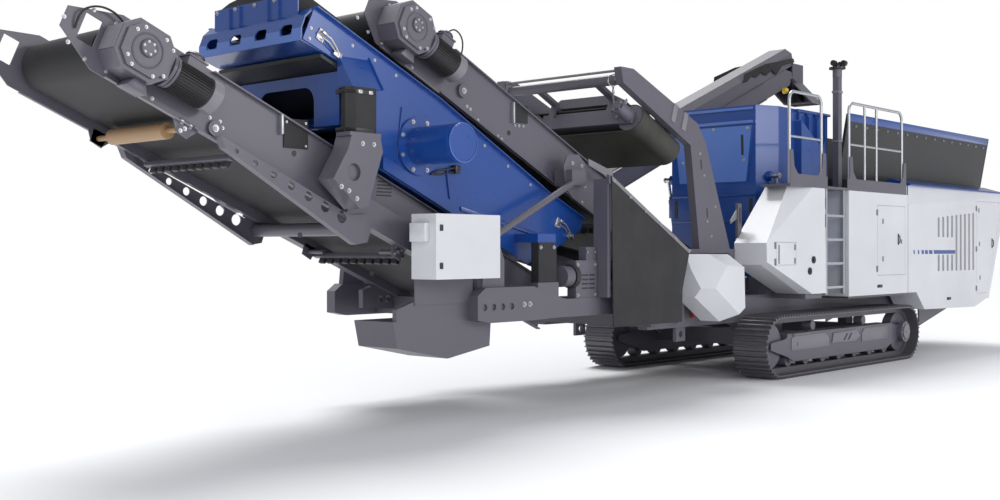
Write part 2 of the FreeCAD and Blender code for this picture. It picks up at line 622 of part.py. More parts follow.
def screen_box():
    pieces = []
    for plate in both_sides(slab_xz(SCREEN_SIDE, -SCREEN_HALF, -SCREEN_HALF + SCREEN_PLATE)):
        pieces.append(plate)
    inner = SCREEN_HALF - SCREEN_PLATE
    # Cross tubes: place along X, height and radius.
    for x, z, radius in ((-6230, 3230, 70), (-5560, 2600, 70), (-4600, 2150, 70), (-3900, 1800, 70),
                         (-4450, 2420, 60)):
        pieces.append(rod((x, -inner, z), (x, inner, z), radius))
    # Front beam with its slots, the sloping plate under it and the flap above.
    face = slab_xz(((-6480, 3130), (-6480, 3230), (-6440, 3330), (-6428, 3330), (-6468, 3228), (-6468, 3130)),
                   -inner, inner)
    for y in BEAM_SLOTS["y"]:
        face = face.cut(oblong(y, BEAM_SLOTS["half"], BEAM_SLOTS["r"], BEAM_SLOTS["z"], -6490, -6400))
    pieces.append(face)
    pieces.append(slab_xz(((-6440, 3330), (-6360, 3400), (-6352, 3390), (-6428, 3322)), -inner, inner))
    pieces.append(slab_xz(((-6480, 3130), (-6468, 3142), (ARCH["x"] + SCREEN_PLATE, 3012), (ARCH["x"], 3000)),
                          -inner, inner))
    flap = block((FLAP["x"], -FLAP["half"], FLAP["low"] - 40),
                 (FLAP["x"] + SCREEN_PLATE, FLAP["half"], FLAP["high"]))
    ribs = [block((FLAP["x"] - 20, y - 6, FLAP["low"] - 30), (FLAP["x"], y + 6, FLAP["high"] - 10))
            for y in (-330, -190, 190, 330)]
    pieces.append(fuse([flap] + ribs))
    # Front plate with the arch over the fines belt.
    plate = block((ARCH["x"], -inner, ARCH["low"]), (ARCH["x"] + SCREEN_PLATE, inner, ARCH["high"]))
    (half, top, corner) = (ARCH["half"], ARCH["top"], ARCH["corner"])
    gate = [block((ARCH["x"] - 1, -half, ARCH["low"] - 1),
                  (ARCH["x"] + SCREEN_PLATE + 1, half, top - corner)),
            block((ARCH["x"] - 1, -half + corner, ARCH["low"] - 1),
                  (ARCH["x"] + SCREEN_PLATE + 1, half - corner, top))]
    for side in (-1, 1):
        y = side * (half - corner)
        gate.append(rod((ARCH["x"] - 1, y, top - corner), (ARCH["x"] + SCREEN_PLATE + 1, y, top - corner),
                        corner))
    pieces.append(plate.cut(fuse(gate)))
    # Flange along the upper edge and folded bar along the lower edge of each side plate.
    upper = ((-6350, 3410), (-4970, 2810), (-3510, 2060), (-2920, 1800))
    pieces.extend(both_sides(strip_xz(upper, 10, -SCREEN_HALF - EDGE_FLANGE, -SCREEN_HALF)))
    lower = ((-5660, 2270), (-4840, 1920))
    pieces.extend(both_sides(strip_xz(lower, 105, -SCREEN_HALF - EDGE_FLANGE, -SCREEN_HALF)))
    # Wedge-shaped spring brackets on the outside of the plates.
    wedge = slab_yz(((-SCREEN_HALF, 3050), (-SCREEN_HALF, BOOT_HIGH_Z + SEAT), (-870, BOOT_HIGH_Z + SEAT)),
                    -6110, -5790)
    ribs = [slab_yz(((-SCREEN_HALF, 3075), (-SCREEN_HALF, BOOT_HIGH_Z + SEAT), (-888, BOOT_HIGH_Z + SEAT)),
                    x, x + 12)
            for x in (-6122, -5790)]
    pieces.extend(both_sides(fuse([wedge] + ribs)))
    rear_bracket = ((-3960, 1560 + SEAT), (-3700, 1560 + SEAT), (-3700, 1640), (-3960, 1640))
    for part in both_sides(slab_xz(rear_bracket, -980, -SCREEN_HALF)):
        pieces.append(part)
    # Collecting pan under the deck.
    pan = ((-5640, 2190), (-3760, 1390), (-3760, 1410), (-5640, 2210))
    pieces.append(slab_xz(pan, -inner, inner))
    for end in both_sides(rod((EXCITER_X, -EXCITER_REACH, EXCITER_Z), (EXCITER_X, -SCREEN_HALF, EXCITER_Z),
                              EXCITER_R)):
        pieces.append(end)
    pieces.append(rod((EXCITER_X, -inner, EXCITER_Z), (EXCITER_X, inner, EXCITER_Z), EXCITER_R - 25))
    for flange in both_sides(rod((EXCITER_X, -SCREEN_HALF - 25, EXCITER_Z),
                                 (EXCITER_X, -SCREEN_HALF, EXCITER_Z), EXCITER_FLANGE_R)):
        pieces.append(flange)
    rim = rod((EXCITER_X, -EXCITER_REACH + 30, EXCITER_Z), (EXCITER_X, -EXCITER_REACH + 55, EXCITER_Z),
              EXCITER_R + 8)
    pieces.extend(both_sides(rim))
    return fuse(pieces)


def screen_deck():
    inner = SCREEN_HALF - SCREEN_PLATE - SEAT
    deck = ((-6280, 3020), (-2990, 1700), (-2990, 1730), (-6280, 3050))
    return slab_xz(deck, -inner, inner)


# Conveyors, built along +X with the drum axes at Z = 0 and then tilted

def conveyor_belt(length, width, drum_r):
    half = width / 2
    outer = stadium(0, length, 0, drum_r + SEAT + BELT_THICKNESS, -half, half)
    return outer.cut(stadium(0, length, 0, drum_r + SEAT, -half, half))


def conveyor_rollers(length, width, gap, drum_r):
    pieces = []
    half = width / 2
    plate_gap = gap / 2
    for u in (0, length):
        drum = rod((u, -half, 0), (u, half, 0), drum_r)
        shaft = rod((u, -plate_gap, 0), (u, plate_gap, 0), SHAFT_R)
        pieces.append(fuse([drum, shaft]))
    count = int(length // IDLER_SPACING)
    step = length / (count + 1)
    for index in range(count):
        u = step * (index + 1)
        idler_z = drum_r - IDLER_R
        roller = rod((u, -half, idler_z), (u, half, idler_z), IDLER_R)
        pin = rod((u, -plate_gap, idler_z), (u, plate_gap, idler_z), 15)
        pieces.append(fuse([roller, pin]))
    return pieces


def conveyor_frame(length, gap, low, high, tail_reach, head_reach, ties, flange=FLANGE):
    inner = gap / 2
    outer = inner + PLATE
    outline = ((-tail_reach, -low), (length + 0.35 * head_reach, -low),
               (length + head_reach, -0.3 * low), (length + head_reach, 0.35 * high),
               (length + 0.2 * head_reach, high), (-tail_reach, high))
    pieces = []
    for side in (-1, 1):
        low_y = min(side * inner, side * outer)
        pieces.append(slab_xz(outline, low_y, low_y + PLATE))
        flange_low = outer if side > 0 else -outer - flange
        for z in (-low, high - PLATE):
            pieces.append(block((-tail_reach, flange_low, z), (length - 700, flange_low + flange, z + PLATE)))
    for u in ties:
        pieces.append(rod((u, -inner, 0), (u, inner, 0), 38))
    return fuse(pieces)


def head_drive(length, gap, side):
    # A shaft-mounted gearbox on the head drum with its motor lying along the frame.
    face = gap / 2 + PLATE
    outer = face + GEARBOX_DEPTH
    middle = length - 0.1 * GEARBOX_LENGTH
    outline = octagon((length - 0.6 * GEARBOX_LENGTH, length + 0.4 * GEARBOX_LENGTH),
                      (-GEARBOX_HEIGHT / 2, GEARBOX_HEIGHT / 2), GEARBOX_CORNER)
    def across(y_low, y_high):
        return slab_xz(outline, min(side * y_low, side * y_high), max(side * y_low, side * y_high))
    pieces = [across(face, outer - 20)]
    lid = [(middle + (u - middle) * 0.84, v * 0.84) for u, v in outline]
    pieces.append(slab_xz(lid, min(side * (outer - 20), side * outer),
                          max(side * (outer - 20), side * outer)))
    pieces.append(rod((middle, side * outer, 20), (middle, side * (outer + 14), 20), 62))
    motor_y = side * (face + GEARBOX_DEPTH / 2)
    motor_u = length - 0.6 * GEARBOX_LENGTH
    # Motor in steps: end along the frame and radius.
    start = 0
    for end, radius in MOTOR_STEPS:
        pieces.append(rod((motor_u - start, motor_y, 0), (motor_u - end, motor_y, 0), radius))
        start = end
    box_low = (motor_u - 270, motor_y - 60, 80)
    pieces.append(block(box_low, (motor_u - 120, motor_y + 60, 170)))
    pieces.append(block((motor_u - 278, motor_y - 68, 170), (motor_u - 112, motor_y + 68, 182)))
    return fuse(pieces)


def incline(shape, tail, angle, heading):
    # heading +1 climbs towards +X, -1 climbs towards -X.
    result = shape.copy()
    if heading < 0:
        result.rotate(Vec(0, 0, 0), Z_DIR, 180)
    result.rotate(Vec(0, 0, 0), Y_DIR, -angle * heading)
    result.translate(Vec(*tail))
    return result


def incline_point(tail, angle, heading, u, v):
    # Where a point of a tilted conveyor lies: u along the belt, v above the drum axes.
    turn = math.radians(angle)
    return (tail[0] + heading * (u * math.cos(turn) - v * math.sin(turn)),
            tail[1] + u * math.sin(turn) + v * math.cos(turn))


def rest_block(tail, angle, heading, depth, x_middle, width, z_low, half):
    # A cross-member whose sloping top lies just under the lower edge of a tilted frame.
    slope = heading * math.tan(math.radians(angle))
    foot = incline_point(tail, angle, heading, 0, -depth - SEAT)
    outline = []
    for x in (x_middle - width / 2, x_middle + width / 2):
        outline.append((x, foot[1] + (x - foot[0]) * slope))
    outline.extend([(x_middle + width / 2, z_low), (x_middle - width / 2, z_low)])
    return slab_xz(outline, -half, half)


def incline_all(shapes, tail, angle, heading):
    return [incline(shape, tail, angle, heading) for shape in shapes]


def fines_conveyor():
    tail = (FINES_TAIL_X, 0, FINES_TAIL_Z)
    frame = conveyor_frame(FINES_LENGTH, FINES_GAP, FINES_LOW, FINES_HIGH, 240, FINES_REACH,
                           (600, 1700, 2800, 3900))
    for side in (-1, 1):
        low_y = min(side * FINES_GAP / 2, side * (FINES_GAP / 2 + PLATE))
        for u in (FINES_LENGTH - 420, FINES_LENGTH + 210):
            frame = frame.cut(block((u, low_y, -90), (u + 130, low_y + PLATE, 110)))
        # Lugs that hold the snub roller under the frame.
        ear = slab_xz(((SNUB_U - 110, -FINES_LOW), (SNUB_U + 110, -FINES_LOW), (SNUB_U + 50, SNUB_V - 50),
                       (SNUB_U - 50, SNUB_V - 50)), low_y, low_y + PLATE)
        frame = fuse([frame, ear])
    belt = conveyor_belt(FINES_LENGTH, FINES_BELT, FINES_DRUM_R)
    rollers = conveyor_rollers(FINES_LENGTH, FINES_BELT, FINES_GAP, FINES_DRUM_R)
    drive = head_drive(FINES_LENGTH, FINES_GAP, 1)
    place_args = (tail, FINES_ANGLE, -1)
    half = FINES_BELT / 2 - 120
    snub = fuse([rod((SNUB_U, -half, SNUB_V), (SNUB_U, half, SNUB_V), SNUB_R),
                 rod((SNUB_U, -FINES_GAP / 2, SNUB_V), (SNUB_U, FINES_GAP / 2, SNUB_V), 22)])
    return {"fines_frame": [incline(frame, *place_args)], "snub_roller": [incline(snub, *place_args)],
            "fines_belt": [incline(belt, *place_args)],
            "fines_rollers": incline_all(rollers, *place_args),
            "fines_drive": [incline(drive, *place_args)]}


def discharge_conveyor():
    tail = (DISCHARGE_TAIL_X, 0, DISCHARGE_TAIL_Z)
    frame = conveyor_frame(DISCHARGE_LENGTH, DISCHARGE_GAP, DISCHARGE_LOW, DISCHARGE_HIGH, 240, 330,
                           (700, 2000, 3300, 4600))
    belt = conveyor_belt(DISCHARGE_LENGTH, DISCHARGE_BELT, DISCHARGE_DRUM_R)
    rollers = conveyor_rollers(DISCHARGE_LENGTH, DISCHARGE_BELT, DISCHARGE_GAP, DISCHARGE_DRUM_R)
    drive = head_drive(DISCHARGE_LENGTH, DISCHARGE_GAP, 1)
    place_args = (tail, DISCHARGE_ANGLE, -1)
    return {"discharge_frame": [incline(frame, *place_args)],
            "discharge_belt": [incline(belt, *place_args)],
            "discharge_rollers": incline_all(rollers, *place_args),
            "discharge_drive": [incline(drive, *place_args)]}


def return_conveyor():
    tail = (RETURN_TAIL_X, RETURN_Y, RETURN_TAIL_Z)
    frame = conveyor_frame(RETURN_LENGTH, RETURN_GAP, RETURN_LOW, RETURN_HIGH, 150, 200,
                           (900, 2500, 4200, 6000), RETURN_FLANGE)
    belt = conveyor_belt(RETURN_LENGTH, RETURN_BELT, RETURN_DRUM_R)
    rollers = conveyor_rollers(RETURN_LENGTH, RETURN_BELT, RETURN_GAP, RETURN_DRUM_R)
    # Hood and skirts over the upper run.
    half = RETURN_GAP / 2
    hood = ((-half, RETURN_HIGH), (-half, 300), (-half + 90, 380), (half - 90, 380), (half, 300),
            (half, RETURN_HIGH), (half - 10, RETURN_HIGH), (half - 10, 295), (half - 95, 370),
            (-half + 95, 370), (-half + 10, 295), (-half + 10, RETURN_HIGH))
    cover = slab_yz(hood, 4600, RETURN_LENGTH + 330)
    place_args = (tail, RETURN_ANGLE, 1)
    frame = incline(frame, *place_args)
    inner = RETURN_GAP / 2
    foot = RETURN_PIVOT_Z + SEAT
    pivot = [block((RETURN_PIVOT_X - 60, RETURN_Y - inner - PLATE, foot),
                   (RETURN_PIVOT_X + 60, RETURN_Y + inner + PLATE, foot + 30))]
    for side in (-1, 1):
        low_y = RETURN_Y + min(side * inner, side * (inner + PLATE))
        pivot.append(block((RETURN_PIVOT_X - 60, low_y, foot),
                           (RETURN_PIVOT_X + 60, low_y + PLATE, foot + 200)))
    frame = fuse([frame] + pivot)
    # Chute at the head that turns the stone inwards over the rim of the hopper.
    side = inner + PLATE
    section = ((RETURN_Y - side, CHUTE_TOP_Z), (RETURN_Y + side, CHUTE_TOP_Z), (RETURN_Y + side, 4050),
               (RETURN_Y + side - CHUTE_SHIFT, CHUTE_LOW_Z), (RETURN_Y - side - CHUTE_SHIFT, CHUTE_LOW_Z),
               (RETURN_Y - side, 4050))
    wall = 20
    chute = slab_yz(section, CHUTE_X[0], CHUTE_X[1])
    space = polygon([(CHUTE_X[0], y, z) for y, z in section]).makeOffset2D(-wall)
    chute = chute.cut(space.extrude(Vec(CHUTE_X[1] - CHUTE_X[0] - wall, 0, 0)))
    chute = chute.cut(block((CHUTE_X[0] + wall, RETURN_Y - side - CHUTE_SHIFT + wall, CHUTE_LOW_Z),
                            (CHUTE_X[1] - wall, RETURN_Y + side - CHUTE_SHIFT - wall, CHUTE_LOW_Z + wall)))
    return {"return_frame": [frame],
            "return_belt": [incline(belt, *place_args)],
            "return_rollers": incline_all(rollers, *place_args),
            "return_hood": [fuse([incline(cover, *place_args), chute])]}


def cross_conveyor():
    # Runs across the machine, from under the screen's low end up to the return belt.
    def across(shape):
        result = shape.copy()
        result.rotate(Vec(0, 0, 0), Y_DIR, -CROSS_ANGLE)
        result.rotate(Vec(0, 0, 0), Z_DIR, 90)
        result.translate(Vec(CROSS_X, CROSS_TAIL_Y, CROSS_TAIL_Z))
        return result
    frame = across(conveyor_frame(CROSS_LENGTH, CROSS_GAP, CROSS_DEPTH, CROSS_DEPTH, 120, 60,
                                  (250, 740, 1230), RETURN_FLANGE))
    # Feet on the near beam and on the cross-member, in the planes of the side plates.
    feet = []
    for side in (-1, 1):
        x_low = CROSS_X + min(side * CROSS_GAP / 2, side * (CROSS_GAP / 2 + PLATE))
        feet.append(block((x_low, -940, BEAM_TOP_Z), (x_low + PLATE, -895, CROSS_TAIL_Z - 60)))
    for side in (-1, 1):
        x_low = CROSS_X + min(side * CROSS_GAP / 2, side * (CROSS_GAP / 2 + PLATE))
        feet.append(block((x_low, 290, 950), (x_low + PLATE, 350, CROSS_TAIL_Z + 200)))
    feet.append(block((CROSS_X - CROSS_GAP / 2 - PLATE, 290, 950),
                      (CROSS_X + CROSS_GAP / 2 + PLATE, 350, 1000)))
    frame = fuse([frame] + feet)
    belt = conveyor_belt(CROSS_LENGTH, CROSS_BELT, CROSS_DRUM_R)
    rollers = conveyor_rollers(CROSS_LENGTH, CROSS_BELT, CROSS_GAP, CROSS_DRUM_R)
    # Drive of the cross belt, on the near side beam.
    drive = fuse([block((-3420, -1000, BEAM_TOP_Z), (-3090, -895, 1390)),
                  rod((-3480, -948, 1240), (-3420, -948, 1240), 45),
                  rod((-3600, -948, 1240), (-3480, -948, 1240), 100),
                  block((-3250, -990, 1390), (-3100, -900, 1520))])
    return {"cross_frame": [frame], "cross_belt": [across(belt)], "cross_drive": [drive],
            "cross_rollers": [across(roller) for roller in rollers]}


def fines_arms():
    # Channel arms under the sides of the fines conveyor, on a tube between the front legs.
    (tip_x, tip_z) = ARM_TIP
    arm_inner_y = FINES_GAP / 2 + PLATE + FLANGE + SEAT
    (pivot_x, pivot_z) = incline_point((FINES_TAIL_X, FINES_TAIL_Z), FINES_ANGLE, -1, ARM_TUBE_U,
                                       -FINES_LOW - ARM_TUBE_R - SEAT)
    outline = ((tip_x, tip_z), (tip_x + 40, tip_z - 90), (pivot_x - 60, pivot_z - 130),
               (pivot_x + 70, pivot_z - 110),
               (pivot_x + 110, pivot_z), (pivot_x + 60, pivot_z + 120), (pivot_x - 120, pivot_z + 110))
    arm = slab_xz(outline, -ARM_OUTER_Y, -ARM_OUTER_Y + ARM_PLATE)
    back = slab_xz(((tip_x, tip_z), (tip_x + 40, tip_z - 90), (tip_x + 130, tip_z - 128),
                    (tip_x + 100, tip_z - 40)),
                   -ARM_OUTER_Y, -arm_inner_y)
    foot = strip_xz(((tip_x + 40, tip_z - 82), (pivot_x - 60, pivot_z - 122)), 8,
                    -ARM_OUTER_Y, -ARM_OUTER_Y + ARM_FLANGE)
    for index in range(ARM_HOLES):
        share = (index + 0.8) / (ARM_HOLES + 1)
        x = tip_x + (pivot_x - tip_x) * share
        z = tip_z - 45 + (pivot_z + 45 - tip_z) * share
        radius = 20 + 5 * index
        arm = arm.cut(rod((x, -ARM_OUTER_Y - 1, z), (x, -arm_inner_y + 1, z), radius))
    cross_tube = rod((pivot_x, -ARM_OUTER_Y + 1, pivot_z), (pivot_x, ARM_OUTER_Y - 1, pivot_z), ARM_TUBE_R)
    return [fuse(both_sides(fuse([arm, back, foot])) + [cross_tube])]


def screen_struts():
    # Tie rods from posts on the side beams up to the discharge conveyor.
    y = 830
    post = slab_xz(((-4690, BEAM_CROWN_Z), (-4400, BEAM_CROWN_Z), (-4400, 1400), (-4520, 1660),
                    (-4640, 1620)),
                   -960, -900)
    rod_part = rod((-4530, -930, 1600), (-3150, -y, 2190), 32)
    ear = block((-3300, -860, 2120), (-3080, -DISCHARGE_GAP / 2 - PLATE - FLANGE - SEAT, 2270))
    head = slab_xz(((-3310, 2090), (-3344, 2300), (-3290, 2408), (-3110, 2430), (-3000, 2340), (-3060, 2110),
                    (-3190, 1990)), -790, -770)
    return both_sides(fuse([post, rod_part, ear, head]))


# Crusher

def crusher_plan(front_x, rear_x, shrink):
    nose = CRUSHER_NOSE_HALF - shrink
    half = CRUSHER_HALF - shrink
    shoulder = CRUSHER_FRONT_X + CRUSHER_NOSE
    return ((front_x, -nose), (shoulder, -half), (rear_x, -half), (rear_x, half), (shoulder, half),
            (front_x, nose))


def crusher_shell(z_low, z_high):
    outer = slab_xy(crusher_plan(CRUSHER_FRONT_X, CRUSHER_REAR_X, 0), z_low, z_high)
    wall = CRUSHER_WALL
    inner = slab_xy(crusher_plan(CRUSHER_FRONT_X + wall, CRUSHER_REAR_X - wall, wall), z_low, z_high)
    return outer.cut(inner)


def crusher_casing():
    low = crusher_shell(CRUSHER_LOW, CRUSHER_SPLIT)
    high = crusher_shell(CRUSHER_SPLIT, CRUSHER_TOP)
    high = high.cut(block((0, -900, CRUSHER_SPLIT), (LID_REAR_X, 900, CRUSHER_TOP + 10)))
    roof = slab_xy(crusher_plan(CRUSHER_FRONT_X, CRUSHER_REAR_X, 0), CRUSHER_TOP - CRUSHER_WALL, CRUSHER_TOP)
    roof = roof.cut(block((0, -900, CRUSHER_TOP - 100), (LID_REAR_X, 900, CRUSHER_TOP + 10)))
    # Stepped boxes on the near side.
    step = slab_xz(((1370, 2345), (1370, 3120), (1513, 3040), (1948, 2778), (1948, 2345)),
                   -CRUSHER_HALF - 90, -CRUSHER_HALF)
    low_step = block((1100, -CRUSHER_HALF - 60, 1500), (1750, -CRUSHER_HALF, 1940))
    casing = fuse([low, high, roof, step, low_step])
    inlet = block((CRUSHER_REAR_X - 100, -TROUGH_HALF, TROUGH_LOW + 120),
                  (CRUSHER_REAR_X + 100, TROUGH_HALF, 3000))
    return casing.cut(inlet)


def crusher_lid():
    lid = crusher_shell(CRUSHER_SPLIT + SEAT, CRUSHER_TOP)
    roof = slab_xy(crusher_plan(CRUSHER_FRONT_X, CRUSHER_REAR_X, 0), CRUSHER_TOP - CRUSHER_WALL, CRUSHER_TOP)
    lid = fuse([lid, roof])
    rails = [block((CRUSHER_FRONT_X - 20, -CRUSHER_NOSE_HALF, z_low),
                   (CRUSHER_FRONT_X, CRUSHER_NOSE_HALF, z_high))
             for z_low,
             z_high in ((CRUSHER_TOP - 60, CRUSHER_TOP - 20), (CRUSHER_TOP - 230, CRUSHER_TOP - 180))]
    rails.append(slab_yz(((-590, 3030), (590, 3030), (500, 2320), (-500, 2320)), CRUSHER_FRONT_X - 12,
                         CRUSHER_FRONT_X))
    eye_x, eye_z = CYLINDER_EYE
    bosses = both_sides(rod((eye_x, -CRUSHER_HALF, eye_z), (eye_x, -CRUSHER_NOSE_HALF - 40, eye_z),
                            LID_BOSS_R))
    lid = fuse([lid] + rails + bosses)
    return lid.cut(block((LID_REAR_X - LID_CLEARANCE, -900, CRUSHER_SPLIT),
                         (CRUSHER_REAR_X + 10, 900, CRUSHER_TOP + 10)))


def discharge_pan():
    (front_x, front_z) = PAN_FRONT
    (rear_x, rear_z) = PAN_REAR
    outline = ((front_x, front_z), (front_x, front_z + 90), (front_x + 200, PAN_RIM_Z), (rear_x, PAN_RIM_Z),
               (rear_x, rear_z))
    space = ((front_x, front_z + PAN_WALL), (front_x, PAN_RIM_Z), (rear_x, PAN_RIM_Z),
             (rear_x, rear_z + PAN_WALL))
    inner = PAN_HALF - PAN_WALL
    return slab_xz(outline, -PAN_HALF, PAN_HALF).cut(slab_xz(space, -inner, inner))


def crusher_rotor():
    inner = CRUSHER_HALF - CRUSHER_WALL
    pieces = [rod((ROTOR_X, -ROTOR_HALF, ROTOR_Z), (ROTOR_X, ROTOR_HALF, ROTOR_Z), ROTOR_R),
              rod((ROTOR_X, -inner + SEAT, ROTOR_Z), (ROTOR_X, inner - SEAT, ROTOR_Z), 70)]
    for index in range(BAR_COUNT):
        blow_bar = block((ROTOR_X - 40, -ROTOR_HALF, ROTOR_Z + ROTOR_R - 40),
                         (ROTOR_X + 40, ROTOR_HALF, ROTOR_Z + ROTOR_R + 70))
        blow_bar.rotate(Vec(ROTOR_X, 0, ROTOR_Z), Y_DIR, 45 + index * 360 / BAR_COUNT)
        pieces.append(blow_bar)
    return fuse(pieces)


def cylinder_parts():
    # The barrel's foot is pinned to the casing and the rod's eye to the lid, on both sides.
    foot = Vec(CYLINDER_FOOT[0], 0, CYLINDER_FOOT[1])
    eye = Vec(CYLINDER_EYE[0], 0, CYLINDER_EYE[1])
    along = (eye - foot).normalize()
    barrels = []
    rods = []
    for side in (-1, 1):
        shift = Vec(0, side * CYLINDER_Y, 0)
        start = foot + shift
        top = start + along * CYLINDER_BODY
        barrel = Part.makeCylinder(CYLINDER_R, CYLINDER_BODY, start, along)
        bore = Part.makeCylinder(CYLINDER_ROD_R + SEAT, CYLINDER_BODY, start + along * 60, along)
        foot_pin = rod((foot.x, side * (CRUSHER_HALF + SEAT), foot.z),
                       (foot.x, side * (CYLINDER_Y + CYLINDER_R), foot.z), 28)
        barrels.append(fuse([barrel.cut(bore), foot_pin]))
        stroke = (eye + shift - top).Length + CYLINDER_BODY - 330
        stem = Part.makeCylinder(CYLINDER_ROD_R, stroke, eye + shift - along * stroke, along)
        eye_pin = rod((eye.x, side * (CRUSHER_HALF + SEAT), eye.z),
                      (eye.x, side * (CYLINDER_Y + 30), eye.z), 30)
        rods.append(fuse([stem, eye_pin]))
    return {"lid_cylinder_barrels": barrels, "lid_cylinder_rods": rods}


# Feeder and hopper

def feeder_trough():
    half = TROUGH_HALF
    wall = TROUGH_WALL
    lip_y = HOPPER_FOOT_Y
    lip_z = HOPPER_FOOT_Z - SEAT
    knee_z = 2250
    outside = ((-half, TROUGH_LOW), (half, TROUGH_LOW), (half, knee_z), (lip_y, lip_z),
               (-lip_y, lip_z), (-half, knee_z))
    inside = ((-half + wall, TROUGH_LOW + wall), (half - wall, TROUGH_LOW + wall),
              (half - wall, knee_z), (lip_y - HOPPER_WALL, lip_z), (-lip_y + HOPPER_WALL, lip_z),
              (-half + wall, knee_z))
    body = slab_yz(outside, CRUSHER_REAR_X, REAR_END_X)
    return body.cut(slab_yz(inside, CRUSHER_REAR_X, HOPPER_REAR_X))


def hopper_side_wall():
    # Leans outwards over the lip of the trough, on which it is hinged.
    foot = -HOPPER_FOOT_Y
    rim = -HOPPER_RIM_Y
    section = ((foot, HOPPER_FOOT_Z), (rim, HOPPER_RIM_Z), (rim + HOPPER_WALL, HOPPER_RIM_Z),
               (foot + HOPPER_WALL, HOPPER_FOOT_Z))
    return slab_yz(section, HOPPER_FRONT_X, HOPPER_REAR_X - DOOR_GAP)


def hopper_rear_wall():
    face = ((-HOPPER_FOOT_Y, HOPPER_FOOT_Z), (HOPPER_FOOT_Y, HOPPER_FOOT_Z),
            (HOPPER_RIM_Y, HOPPER_RIM_Z), (-HOPPER_RIM_Y, HOPPER_RIM_Z))
    return slab_yz(face, HOPPER_REAR_X, REAR_END_X)


# Covers, power pack and cabinets

def shell_side(outline, y_outer, y_inner, wall, facets=()):
    # A cover open towards the machine: skin on the outside with a rim all round.
    solid = trimmed(slab_xz(outline, y_outer, y_inner), facets, 0)
    face = polygon([(x, y_outer + wall, z) for x, z in outline])
    hollow = face.makeOffset2D(-wall).extrude(Vec(0, y_inner - y_outer - wall, 0))
    return solid.cut(trimmed(hollow, facets, wall))


def offset_outline(outline, y, distance):
    return polygon([(x, y, z) for x, z in outline]).makeOffset2D(distance)


def cut_doorway(body, outline):
    # A recess for the door's thickness, with a ledge all round that the door closes on.
    recess = offset_outline(outline, -SIDE_Y, 0.01).extrude(Vec(0, DOOR_DEPTH, 0))
    hole = offset_outline(outline, -SIDE_Y, -DOOR_LEDGE).extrude(Vec(0, 2 * COVER_WALL, 0))
    return body.cut(recess).cut(hole)


def door_panel(outline):
    return offset_outline(outline, -SIDE_Y, -DOOR_GAP).extrude(Vec(0, DOOR_DEPTH - SEAT, 0))


def front_cabinet():
    shell = shell_side(FRONT_CABINET, -SIDE_Y, -COVER_INNER_Y, COVER_WALL, CABINET_FACETS)
    return cut_doorway(shell, FRONT_DOOR)


def side_cabinet():
    outline = ((MID_FRONT_X, MID_LOW), (MID_REAR_X, MID_LOW), (MID_REAR_X, FLOOR_Z), (MID_FRONT_X, FLOOR_Z))
    return cut_doorway(shell_side(outline, -SIDE_Y, -COVER_INNER_Y, COVER_WALL), SIDE_DOOR)


def power_hood():
    shell = shell_side(HOOD_SIDE, -SIDE_Y, -COVER_INNER_Y, COVER_WALL, HOOD_FACETS)
    floor_slot = block((HOOD_FRONT_X - 10, -SIDE_Y + COVER_WALL, RAIL_HIGH),
                       (RAIL_REAR_X, 0, RAIL_HIGH + DECK_THICKNESS))
    shell = shell.cut(floor_slot)
    step = (LOUVRE_X[1] - LOUVRE_X[0]) / (LOUVRE_COUNT - 1)
    for index in range(LOUVRE_COUNT):
        x = LOUVRE_X[0] + index * step
        top = LOUVRE_TOPS[0] + (LOUVRE_TOPS[1] - LOUVRE_TOPS[0]) * index / (LOUVRE_COUNT - 1)
        spans = ((LOUVRE_LOW, top),)
        if index < LOUVRE_SHORT:
            spans = ((LOUVRE_LOW, LOUVRE_GAP[0]), (LOUVRE_GAP[1], top))
        for z_low, z_high in spans:
            shell = shell.cut(block((x, -SIDE_Y - 1, z_low), (x + LOUVRE_WIDTH, -SIDE_Y + 40, z_high)))
    # Flat bar along the sloping rear edge, with a foot at its lower end.
    bar = slab_xz(((7350, 2150), (7400, 2150), (6745, 790), (6800, 730), (6660, 730), (6680, 760)),
                  -SIDE_Y + 40, -SIDE_Y + 80)
    return [fuse([cut_doorway(shell, HOOD_DOOR), bar]), fuse([mirror_y(shell), mirror_y(bar)])]


def hood_cover():
    # Blue ledge between the hood and the foot of the hopper.
    foot = -HOPPER_RIM_Y
    section = ((-SIDE_Y, HOOD_TOP_Z), (-COVER_INNER_Y - 20, HOOD_TOP_Z),
               (-COVER_INNER_Y - 20, HOOD_TOP_Z + 40),
               (foot, HOOD_TOP_Z + 110), (-SIDE_Y, HOOD_TOP_Z + 20))
    return both_sides(slab_yz(section, 3700, 7300))


def corner_cover():
    # Solid block of facets: back outline first, then the planes that slope to the outer face.
    outline = ((-1480, 1446), (-800, 1443), (-740, 1300), (-720, 850), (-1000, 705), (-1480, 985),
               (-1500, 1276))
    facets = (((-1099, -SIDE_Y, 1321), (-1333, -SIDE_Y, 1078), (-1500, -1050, 1276)),
              ((-1333, -SIDE_Y, 1078), (-881, -SIDE_Y, 805), (-1150, -1080, 785)),
              ((-1099, -SIDE_Y, 1321), (-760, -SIDE_Y, 1300), (-900, -1080, 1444)))
    return trimmed(slab_xz(outline, -SIDE_Y, -MAGNET_FRAME_Y - SEAT), facets, 0)


def side_curtain():
    (front, rear) = CURTAIN_X
    (front_top, rear_top) = CURTAIN_TOP
    outline = ((front, front_top), (rear, rear_top), (rear, rear_top - 40), (rear - 130, 1072),
               (rear - 130, CURTAIN_LOW),
               (front + 30, CURTAIN_LOW))
    return slab_xz(outline, CURTAIN_Y, CURTAIN_Y + CURTAIN_THICKNESS)


